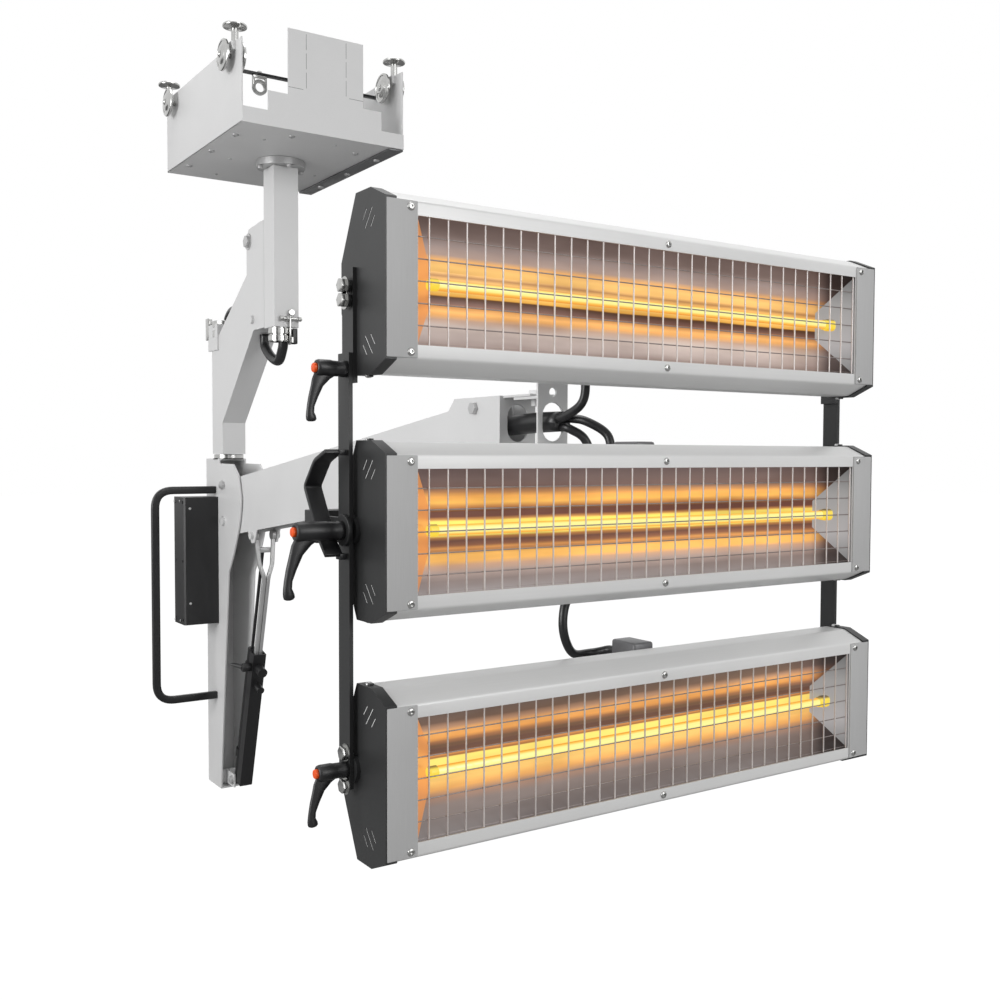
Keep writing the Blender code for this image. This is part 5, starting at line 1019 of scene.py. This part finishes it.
def makeStrutLever():
    size = strut
    lock = strutPlace(size["lockShare"], size["offset"])
    hub, start = size["hub"], size["hubStart"]
    end = start - size["hubLength"]
    bm = bmesh.new()
    addTurned(bm, [
        (0, end), (hub - 0.002, end), (hub, end + 0.002), (hub, start - 0.0006), (hub - 0.0006, start),
        (0, start),
    ], "x", lock, 32)
    root = Vector((end + size["armInset"], lock.y, lock.z))
    run = -strutSide * size["armLength"] - strutWay * size["armLength"] * size["drop"]
    turn = run.to_track_quat("Z", "X").to_matrix().to_4x4()
    rings = []
    for share, broad, deep in size["arm"]:
        place = Matrix.Translation(root + run * share)
        rings.append(place @ turn @ Matrix.Diagonal((deep, broad, 1, 1)))
    addLoft(bm, rings, 20)
    newPiece("strutLeverMoulded", bm, "blackPlastic", bodyOf("strut_lever"), ["strut_lever"], 45)


makeStrutFork()
makeStrutLever()

armBolts = {
    # body's node, centre, radius, start and end along x, turn
    "pivotHigh": ("post_frame", (0, 0.3027, -0.8636), 0.0095, -0.0362, -0.0425, 20),
    "pivotLow": ("post_frame", (0, 0.2973, -0.9546), 0.0095, -0.0362, -0.0425, 5),
    "crankHigh": ("crank_beam", (0, 0.1270, -0.2803), 0.0155, -0.0302, -0.0385, 12),
    "footBolt": ("post_frame", (0, 0.2960, -1.6200), 0.0095, -0.0166, -0.0230, 0),
}


def makeArmBolts():
    for name, (nodeName, centre, radius, start, end, turn) in armBolts.items():
        bm = bmesh.new()
        washer, back = radius * 1.25, start - 0.0014
        addTurned(bm, [
            (0, start), (washer, start), (radius * 1.28, start - 0.0006), (washer, back), (0, back),
        ], "x", centre, 28)
        addHex(bm, "x", centre, radius, start - 0.0012, end, turn)
        newPiece(f"{name}Bolt", bm, "satinZinc", bodyOf(nodeName))


makeArmBolts()

footClamp = {
    "centre": (-0.012, -0.014, 0), "radius": 0.0240, "bands": [(-0.4975, -0.5105), (-0.5140, -0.5270)],
    "sleeve": (-0.4960, -0.5280), "strapX": (0.0035, 0.0075), "strapZ": (-0.5350, -0.4690),
    "screwY": -0.037, "screwZ": -0.476, "screw": 0.0032, "screwX": (-0.0180, 0.0340),
    # start and end along x, radius
    "nuts": [(-0.0190, -0.0110, 0.0062), (-0.0035, 0.0020, 0.0068), (0.0250, 0.0320, 0.0060)],
    "knob": 0.0070, "knobHalf": 0.0035, "knobX": 0.0090, "knobZ": -0.4615,
    "pin": 0.0045, "pinX": 0.0105, "pinZ": (-0.5300, -0.5180),
}
hoseClamp = {
    "centre": (-0.0020, 0.3640, 0), "bands": [(-0.4620, -0.4440), (-0.4860, -0.4680)], "inner": 0.0150,
    "outer": 0.0332, "earX": (-0.0350, -0.0315, -0.0180), "earY": (0.4020, 0.4163, 0.4198),
    "earZ": (-0.4900, -0.4340),
}


def makeFootClamp():
    size = footClamp
    body = bodyOf("foot_clamp")
    radius, y = size["radius"], size["screwY"]
    bm = bmesh.new()
    for top, bottom in size["bands"]:
        addTurned(bm, [
            (radius - 0.004, top), (radius - 0.0010, top), (radius, top - 0.0010), (radius, bottom + 0.0010),
            (radius - 0.0010, bottom), (radius - 0.004, bottom), (radius - 0.004, top),
        ], "z", size["centre"], 44)
    top, bottom = size["sleeve"]
    inner, outer = radius - 0.0045, radius - 0.003
    addTurned(bm, [
        (inner, top), (outer, top), (outer, bottom), (inner, bottom), (inner, top),
    ], "z", size["centre"], 44)
    (near, far), (low, high) = size["strapX"], size["strapZ"]
    addBlock(bm, (near, y - 0.0035, low), (far, y + 0.0060, high), 0.0008)
    (start, end), screw = size["screwX"], size["screw"]
    addTurned(bm, [(0, start), (screw, start), (screw, end), (0, end)], "x", (0, y, size["screwZ"]), 16)
    for start, end, hexRadius in size["nuts"]:
        addHex(bm, "x", (0, y, size["screwZ"]), hexRadius, start, end, 10)
    knob, half = size["knob"], size["knobHalf"]
    addTurned(bm, [
        (0, -half), (knob - 0.0008, -half), (knob, 0.001 - half), (knob, half - 0.001),
        (knob - 0.0008, half), (0, half),
    ], "y", (size["knobX"], y, size["knobZ"]), 24)
    (low, high), pin = size["pinZ"], size["pin"]
    addTurned(bm, [(0, low), (pin, low), (pin, high), (0, high)], "z", (size["pinX"], y, 0), 16)
    newPiece("footClampBands", bm, "zinc", body)
    bm = bmesh.new()
    addBlock(bm, (0.0120, y - 0.004, -0.5330), (0.0225, y + 0.012, -0.4980), 0.0015, 3)
    newPiece("footClampBlock", bm, "blackPlastic", body)


def makeHoseClamp():
    # band clamp where the hose enters the crank's rear corner
    size = hoseClamp
    inner, outer = size["inner"], size["outer"]
    bm = bmesh.new()
    for low, high in size["bands"]:
        addTurned(bm, [
            (outer - 0.0014, low), (outer, low + 0.0010), (outer, high - 0.0010), (outer - 0.0014, high),
            (inner, high), (inner, low), (outer - 0.0014, low),
        ], "z", size["centre"], 44)
    back, middle, front = size["earX"]
    near, bend, far = size["earY"]
    low, high = size["earZ"]
    addBlock(bm, (back, near, low), (middle, far, high), 0.0010)
    addBlock(bm, (back, bend, low), (front, far, high), 0.0010)
    newPiece("crankHoseClamp", bm, "zinc", bodyOf("crank_beam"))


makeFootClamp()
makeHoseClamp()

postRing = {"y": 0.351, "radius": 0.0372, "low": -0.7965, "high": -0.7855}


def makePostRing():
    size = postRing
    r, low, high = size["radius"], size["low"], size["high"]
    bm = bmesh.new()
    addTurned(bm, [
        (0, low), (r - 0.0008, low), (r, low + 0.0008), (r, high - 0.0012), (r - 0.0010, high - 0.0002),
        (0, high - 0.0002),
    ], "z", (0, size["y"], 0), 48)
    newPiece("postRing", bm, "zinc", bodyOf("post_frame"))
    bm = bmesh.new()
    addTurned(bm, [
        (0, low - 0.0022), (r + 0.0026, low - 0.0022), (r + 0.0030, low - 0.0010), (r + 0.0026, low),
        (0, low),
    ], "z", (0, size["y"], 0), 48)
    newPiece("postRingSeal", bm, "darkSteel", bodyOf("post_frame"))


makePostRing()

boxScrews = {
    "radius": 0.0032, "height": 0.0010,
    "side": [(0.4040, -0.9061), (0.3600, -0.9044), (0.4040, -1.2100), (0.3620, -1.2090)],
    "front": [(-0.1093, -0.9231), (-0.1095, -1.1634)],
}


def makeBoxScrews():
    low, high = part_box("control_box")
    size = boxScrews
    head = buttonHead(size["radius"], size["height"], -1)
    bm = bmesh.new()
    for y, z in size["side"]:
        addTurned(bm, head, "x", (low.x, y, z), 16)
    for x, z in size["front"]:
        addTurned(bm, head, "y", (x, low.y, z), 16)
    newPiece("controlBoxScrews", bm, "satinZinc", bodyOf("control_box"))


makeBoxScrews()
print("arm details done")

# cassettes
cassette = {
    "halfLength": 0.420, "front": -1.309, "edgeDepth": 0.0335, "midDepth": 0.071, "depth": 0.108,
    "faceHalf": 0.089, "half": 0.104, "backHalf": 0.029, "sheet": 0.0016, "bend": 0.0025, "pitch": 0.287,
    "headZ": -0.875, "mouthX": 0.380, "mouthZ": 0.073, "stripWidth": 0.039, "stripLap": 0.0012,
    "stripInset": 0.0006, "stripProud": 0.0022, "screwX": 0.390, "screwZ": 0.0815, "screwRadius": 0.005,
    "screwHeight": 0.0026, "screwLift": 0.0018,
}
terminalBox = {
    "x": (0.022, 0.058), "y": (-1.222, -1.1695), "rise": (0.066, 0.1090), "edge": 0.0040,
    "glandX": 0.040, "glandRise": 0.088, "nut": 0.0108, "nutY": (-1.1694, -1.1645),
    "gland": [
        (0.0060, -1.1650), (0.0098, -1.1650), (0.0104, -1.1630), (0.0098, -1.1590), (0.0078, -1.1572),
        (0.0060, -1.1572),
    ],
}
reflector = {
    # depth behind the mouth and half height; inset of the mouth's ends and its depth behind the casing's face
    "profile": [(0.0, 0.0726), (0.0400, 0.0200)], "sheet": 0.0008, "slope": 1.0, "inset": 0.0004,
    "back": 0.0022,
    "strength": 1.05, "colour": (0.12, 0.11, 0.11),
    "ends": {
        # side, painted light and shade from the lower edge up, strength
        "Left": (-1, [
            (0.0, (0.50, 0.20, 0.07)), (0.5, (0.72, 0.29, 0.085)), (1.0, (0.55, 0.23, 0.08)),
        ], 0.85),
        "Right": (1, [
            (0.0, (0.20, 0.20, 0.20)), (0.3, (0.42, 0.40, 0.40)), (0.7, (0.34, 0.33, 0.325)),
            (1.0, (0.14, 0.14, 0.14)),
        ], 0.8),
    },
    "endColour": (0.4, 0.4, 0.4),
}
wireGuard = {
    "radius": 0.0011, "thin": 0.0008, "first": -0.364, "last": 0.3765, "columns": 30, "rows": 5,
    "pitchZ": 0.0252,
}
tubeLamp = {"tube": 0.0064, "socketHalf": 0.0088, "socketLength": 0.020, "cupLength": 0.012}

# height from the lamp's middle in mm, and the colour of the lamp's reflection painted there on the reflector,
# as a glow
paintedReflectionBands = {
    "top": [
        (-73, (0.36, 0.28, 0.25)), (-62, (0.52, 0.44, 0.41)), (-46, (0.60, 0.52, 0.48)),
        (-38, (0.55, 0.38, 0.29)), (-32, (0.85, 0.44, 0.15)), (-27, (1.0, 0.54, 0.18)),
        (-21, (0.62, 0.29, 0.10)), (-17, (0.20, 0.10, 0.075)), (-11, (0.10, 0.045, 0.03)),
        (-8.5, (0.10, 0.045, 0.02)), (-7, (0.85, 0.42, 0.08)), (0, (1.0, 0.70, 0.20)),
        (7, (0.85, 0.42, 0.08)), (9, (0.50, 0.24, 0.08)), (12, (0.92, 0.52, 0.15)),
        (16, (0.50, 0.25, 0.09)), (20, (0.95, 0.56, 0.18)), (26, (1.0, 0.62, 0.21)),
        (33, (0.88, 0.48, 0.18)), (38, (0.46, 0.34, 0.29)), (48, (0.33, 0.26, 0.24)),
        (58, (0.19, 0.14, 0.125)), (73, (0.13, 0.09, 0.08)),
    ],
    "middle": [
        (-73, (0.30, 0.27, 0.265)), (-60, (0.25, 0.20, 0.185)), (-50, (0.42, 0.32, 0.28)),
        (-43, (0.62, 0.38, 0.25)), (-38, (1.0, 0.55, 0.15)), (-31, (1.0, 0.56, 0.15)),
        (-27, (0.52, 0.24, 0.10)), (-24.5, (0.75, 0.35, 0.11)), (-21, (0.30, 0.13, 0.07)),
        (-15, (0.16, 0.07, 0.05)), (-11, (0.50, 0.22, 0.06)), (-8.5, (1.0, 0.80, 0.16)),
        (8.5, (1.0, 0.80, 0.16)), (10.5, (0.60, 0.28, 0.08)), (14, (0.16, 0.06, 0.04)),
        (21, (0.15, 0.06, 0.04)), (26, (0.55, 0.24, 0.08)), (32, (1.0, 0.55, 0.13)),
        (39, (1.0, 0.50, 0.13)), (44, (0.60, 0.29, 0.12)), (50, (0.20, 0.13, 0.115)),
        (62, (0.17, 0.12, 0.11)), (73, (0.13, 0.09, 0.085)),
    ],
    "bottom": [
        (-73, (0.18, 0.16, 0.155)), (-58, (0.19, 0.16, 0.15)), (-44, (0.25, 0.20, 0.18)),
        (-34, (0.42, 0.25, 0.17)), (-28, (0.85, 0.44, 0.14)), (-21, (1.0, 0.60, 0.18)),
        (-12, (1.0, 0.68, 0.20)), (-8, (1.0, 0.80, 0.20)), (7.5, (1.0, 0.80, 0.20)),
        (9, (0.34, 0.13, 0.05)), (12, (0.70, 0.31, 0.10)), (14.5, (0.16, 0.08, 0.055)),
        (25, (0.14, 0.08, 0.06)), (31, (0.36, 0.16, 0.08)), (37, (0.88, 0.40, 0.11)),
        (45, (0.95, 0.48, 0.16)), (52, (0.50, 0.29, 0.19)), (60, (0.17, 0.11, 0.09)),
        (73, (0.14, 0.10, 0.085)),
    ],
}
# painted shade: the reflector's painted glow darkens towards its right end
paintedShadeFade = [
    (0.0, (0.95, 0.97, 1.0)), (0.10, (1.0, 1.0, 1.0)), (0.78, (1.0, 0.97, 0.95)), (0.885, (0.80, 0.72, 0.68)),
    (0.925, (0.16, 0.12, 0.11)), (1.0, (0.06, 0.055, 0.055)),
]


def bothHalves(upper, centre):
    # the outline of a section, from its upper half
    return [(y, centre + z) for y, z in upper] + [(y, centre - z) for y, z in reversed(upper)]


def makeCasing(levelName, centre):
    size = cassette
    front, faceHalf, half, end = (size[key] for key in ("front", "faceHalf", "half", "halfLength"))
    outline = bothHalves([
        (front, faceHalf), (front + size["edgeDepth"], half), (front + size["midDepth"], half),
        (front + size["depth"], size["backHalf"]),
    ], centre)
    bm = bmesh.new()
    pushOut(bm, [(-end, y, z) for y, z in outline], (2 * end, 0, 0))
    bm.normal_update()
    ends = [f for f in bm.faces if abs(f.normal.x) > 0.9]
    bmesh.ops.delete(bm, geom=ends, context="FACES_ONLY")
    breakEdges(bm, [e for e in bm.edges if len(e.link_faces) == 2], size["bend"], 3)
    for x in (-size["mouthX"], size["mouthX"]):
        planeCut(bm, (x, 0, 0), (1, 0, 0))
    for z in (-size["mouthZ"], size["mouthZ"]):
        planeCut(bm, (0, 0, centre + z), (0, 0, 1))
    opening = []
    for f in bm.faces:
        middle = f.calc_center_median()
        within = abs(middle.x) < size["mouthX"] and abs(middle.z - centre) < size["mouthZ"]
        if within and middle.y < front + 0.002:
            opening.append(f)
    bmesh.ops.delete(bm, geom=opening, context="FACES")
    bmesh.ops.remove_doubles(bm, verts=bm.verts, dist=0.00001)
    bmesh.ops.recalc_face_normals(bm, faces=bm.faces)
    bmesh.ops.solidify(bm, geom=bm.faces[:], thickness=size["sheet"])
    newPiece(f"{levelName}Casing", bm, "casing", bodyOf(f"{levelName}_housing"), [f"{levelName}_housing"])


def makeEndStrips(levelName, centre):
    size = cassette
    body = bodyOf(f"{levelName}_housing")
    front, half = size["front"], size["faceHalf"] - size["stripInset"]
    bm = bmesh.new()
    for side in (-1, 1):
        inner = side * (size["halfLength"] - size["stripWidth"])
        outer = side * (size["halfLength"] + size["stripLap"])
        near, far = sorted((inner, outer))
        addBlock(
            bm, (near, front - size["stripProud"], centre - half), (far, front + 0.0004, centre + half),
            0.0010, 3,
        )
    newPiece(f"{levelName}EndStrips", bm, "endStrip", body)
    bm = bmesh.new()
    head = buttonHead(size["screwRadius"], size["screwHeight"], -1)
    for x in (-size["screwX"], 0, size["screwX"]):
        for z in (-size["screwZ"], size["screwZ"]):
            lift = size["screwLift"] if x else 0.0
            addTurned(bm, head, "y", (x, front - lift, centre + z), 24)
    newPiece(f"{levelName}CasingScrews", bm, "zinc", body)


def makeTerminalBox(levelName, centre):
    # terminal box and cable gland behind the casing
    size = terminalBox
    body = bodyOf(f"{levelName}_housing")
    low, high = zip(size["x"], size["y"], [centre + rise for rise in size["rise"]])
    bm = bmesh.new()
    addBlock(bm, low, high, size["edge"], 3)
    newPiece(f"{levelName}TerminalBox", bm, "castGrey", body)
    bm = bmesh.new()
    middle = (size["glandX"], 0, centre + size["glandRise"])
    addHex(bm, "y", middle, size["nut"], *size["nutY"], 30)
    addTurned(bm, size["gland"], "y", middle, 28)
    newPiece(f"{levelName}CableGland", bm, "blackPlastic", body)


def troughShape(centre):
    # the reflector's hollow as a closed prism, cut slantwise at both ends
    end = cassette["mouthX"]
    front = cassette["front"] + reflector["back"]
    outline = bothHalves([(front + depth, half) for depth, half in reflector["profile"]], centre)
    bm = bmesh.new()
    pushOut(bm, [(-end, y, z) for y, z in outline], (2 * end, 0, 0))
    for side in (-1, 1):
        place = (side * (end - reflector["inset"]), front, 0)
        planeCut(bm, place, (side, reflector["slope"], 0), clear_outer=True)
        loose = [e for e in bm.edges if len(e.link_faces) == 1]
        bmesh.ops.holes_fill(bm, edges=loose, sides=20)
    bmesh.ops.recalc_face_normals(bm, faces=bm.faces)
    bm.normal_update()
    return bm


def troughSheet(name, levelName, centre, coat, wanted):
    # the wanted faces of the hollow, turned inward and given the sheet's thickness
    bm = troughShape(centre)
    bmesh.ops.delete(bm, geom=[f for f in bm.faces if not wanted(f)], context="FACES")
    bmesh.ops.reverse_faces(bm, faces=bm.faces)
    bmesh.ops.solidify(bm, geom=bm.faces[:], thickness=reflector["sheet"])
    newPiece(name, bm, coat, bodyOf(f"{levelName}_housing"), (), 20)


def makeReflector(levelName, centre):
    reach = cassette["mouthZ"]
    # painted reflection: the reflector glows in bands of the lamp's reflected light, by height
    stops = [((height / 1000 + reach) / (2 * reach), colour) for height, colour in paintedReflectionBands[levelName]]
    coat = glowing(
        f"{levelName}Reflector", centre, reach, stops, reflector["strength"], reflector["colour"], 0.3, 0.5,
        0.0022, paintedShadeFade,
    )
    name = f"{levelName}ReflectorTrough"
    troughSheet(name, levelName, centre, coat, lambda f: abs(f.normal.x) < 0.3 and f.normal.y > -0.5)
    # painted light and shade: the left end plate glows lit orange, the right one glows in shaded greys
    for endName, (side, stops, strength) in reflector["ends"].items():
        coat = glowing(
            f"{levelName}{endName}EndPlate", centre, reach, stops, strength, reflector["endColour"], 0.3,
            0.5, 0.002,
        )
        name = f"{levelName}{endName}EndReflector"
        troughSheet(name, levelName, centre, coat, lambda f: f.normal.x * side > 0.3)


def makeGuard(levelName, centre):
    nodeName = f"{levelName}_guard"
    low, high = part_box(nodeName)
    size = wireGuard
    r = size["radius"]
    front = low.y + r
    bm = bmesh.new()
    step = (size["last"] - size["first"]) / (size["columns"] - 1)
    for i in range(size["columns"]):
        x = size["first"] + i * step
        addRod(bm, (x, front, low.z + 0.0002), (x, front, high.z - 0.0002), r)
    newPiece(f"{levelName}GuardColumns", bm, "wire", bodyOf(nodeName), [nodeName], 60)
    bm = bmesh.new()
    thin = size["thin"]
    behind = front + r + thin
    for i in range(size["rows"]):
        z = centre + (i - (size["rows"] - 1) / 2) * size["pitchZ"]
        addRod(bm, (low.x + 0.0002, behind, z), (high.x - 0.0002, behind, z), thin)
    addRod(bm, (low.x + 0.0002, behind, low.z + 0.0016), (high.x - 0.0002, behind, low.z + 0.0016), thin)
    newPiece(f"{levelName}GuardRows", bm, "shadedWire", bodyOf(nodeName), (), 60)


def makeLamp(levelName, centre):
    nodeName = f"{levelName}_lamp"
    low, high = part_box(nodeName)
    size = tubeLamp
    y = (low.y + high.y) / 2
    hot = [
        (0.0, (0.75, 0.26, 0.03)), (0.16, (1.0, 0.55, 0.08)), (0.30, (1.0, 0.88, 0.28)),
        (0.5, (1.0, 0.95, 0.34)), (0.80, (1.0, 0.90, 0.30)), (0.93, (1.0, 0.60, 0.10)),
        (1.0, (0.80, 0.30, 0.03)),
    ]
    tube = size["tube"]
    coat = glowing(f"{levelName}Tube", centre, tube, hot, 1.0, (0.04, 0.03, 0.02), 0.12, 0.0, 0.0003)
    bm = bmesh.new()
    start = low.x + size["cupLength"] * 0.5
    end = high.x - size["socketLength"] * 0.7
    addTurned(bm, [
        (0, start), (tube * 0.7, start), (tube, start + 0.002), (tube, end - 0.002), (tube * 0.7, end),
        (0, end),
    ], "x", (0, y, centre), 28)
    newPiece(f"{levelName}LampTube", bm, coat, bodyOf(nodeName), [nodeName], 35)
    # painted light: the holders glow yellow as if lit by the lamp, dark at the top
    paintedHolderLight = [
        (0.0, (0.9, 0.50, 0.02)), (0.25, (1.0, 0.74, 0.06)), (0.78, (0.98, 0.76, 0.10)),
        (0.90, (0.30, 0.20, 0.06)), (1.0, (0.06, 0.05, 0.04)),
    ]
    half = size["socketHalf"]
    coat = glowing(f"{levelName}Holder", centre, half, paintedHolderLight, 0.9, (0.1, 0.08, 0.02), 0.4, 0.0, 0.0004)
    bm = bmesh.new()
    near = high.x - size["socketLength"]
    addBlock(bm, (near, y - 0.0075, centre - half), (high.x, y + 0.0075, centre + half), 0.0058, 4)
    addTurned(bm, [
        (tube, near - 0.004), (tube + 0.0012, near - 0.0030), (tube + 0.0012, near + 0.004),
        (tube, near + 0.005),
    ], "x", (0, y, centre), 28)
    cupEnd = low.x + size["cupLength"]
    cup = tube + 0.0009
    addTurned(bm, [
        (0, low.x), (cup - 0.001, low.x), (cup, low.x + 0.001), (cup, cupEnd - 0.001),
        (cup - 0.001, cupEnd), (0, cupEnd),
    ], "x", (0, y, centre), 28)
    newPiece(f"{levelName}LampHolders", bm, coat, bodyOf(nodeName), (), 35)


capSlots = {
    # three slots at each corner of a cap, of which the middle one is the longest
    "face": 0.4214, "y": -1.270, "pitchY": 0.010, "rise": 0.072, "pitchZ": 0.00535, "lean": 0.009,
    "tall": 0.0107, "short": 0.55, "half": 0.001, "depth": 0.0008,
}
rimScrew = {"x": 0.4135, "y": -1.252, "lift": 0.0016, "radius": 0.0046, "height": 0.0030}


def makeCaps(levelName, centre):
    for sideName in ("left", "right"):
        name = f"{levelName}{sideName.capitalize()}CapFinish"
        edgedCopy(name, f"{levelName}_{sideName}_cap", 0.0006, "powderCoat")


def makeSlotGlints(levelName, centre):
    # bright slivers where the casing's end shows through the punched slots
    size = capSlots
    half = size["half"]
    bm = bmesh.new()
    for side in (-1, 1):
        for edge in (-1, 1):
            for step in (-1, 0, 1):
                share = size["short"] if step else 1
                y = size["y"] + step * size["pitchY"]
                z = centre + edge * (size["rise"] + step * size["pitchZ"])
                lean = -edge * size["lean"] * share
                tall = size["tall"] * share
                points = [
                    (-lean - half, -tall), (-lean + half, -tall), (lean + half, tall), (lean - half, tall),
                ]
                outline = [(side * size["face"], y + a, z + b) for a, b in points]
                pushOut(bm, outline, (side * size["depth"], 0, 0))
    bmesh.ops.recalc_face_normals(bm, faces=bm.faces)
    newPiece(f"{levelName}SlotGlints", bm, "casing", bodyOf(f"{levelName}_housing"))


def makeRimScrews(levelName, centre):
    size = rimScrew
    bm = bmesh.new()
    for side in (-1, 1):
        for edge in (-1, 1):
            place = (side * size["x"], size["y"], centre + edge * (cassette["half"] + size["lift"]))
            addTurned(bm, buttonHead(size["radius"], size["height"], edge), "z", place, 18)
    newPiece(f"{levelName}RimScrews", bm, "satinZinc", bodyOf(f"{levelName}_housing"))


hingeBolts = {
    # node whose body carries them, heights, start and end along x
    "top": ("top_housing", (-0.589, -0.606), 0.4332, 0.4410),
    "bottom": ("left_bar", (-1.1392, -1.1788), 0.4334, 0.4410), "radius": 0.0088, "y": -1.231,
}


def makeHingeBolts():
    for levelName in ("top", "bottom"):
        nodeName, heights, start, end = hingeBolts[levelName]
        bm = bmesh.new()
        for side in (-1, 1):
            for z in heights:
                centre = (0, hingeBolts["y"], z)
                washer = hingeBolts["radius"] * 1.22
                addTurned(bm, [
                    (0, side * start), (washer, side * start), (washer, side * (start + 0.0014)),
                    (0, side * (start + 0.0014)),
                ], "x", centre, 28)
                addHex(bm, "x", centre, hingeBolts["radius"], side * (start + 0.001), side * end, 8)
        newPiece(f"{levelName}HingeBolts", bm, "zinc", bodyOf(nodeName))


makeHingeBolts()

for levelName, step in zip(levels, (1, 0, -1)):
    centre = cassette["headZ"] + step * cassette["pitch"]
    for makePart in (
        makeCasing, makeEndStrips, makeTerminalBox, makeReflector, makeGuard, makeLamp, makeCaps,
        makeSlotGlints,
        makeRimScrews,
    ):
        makePart(levelName, centre)
    print(levelName, "cassette done")
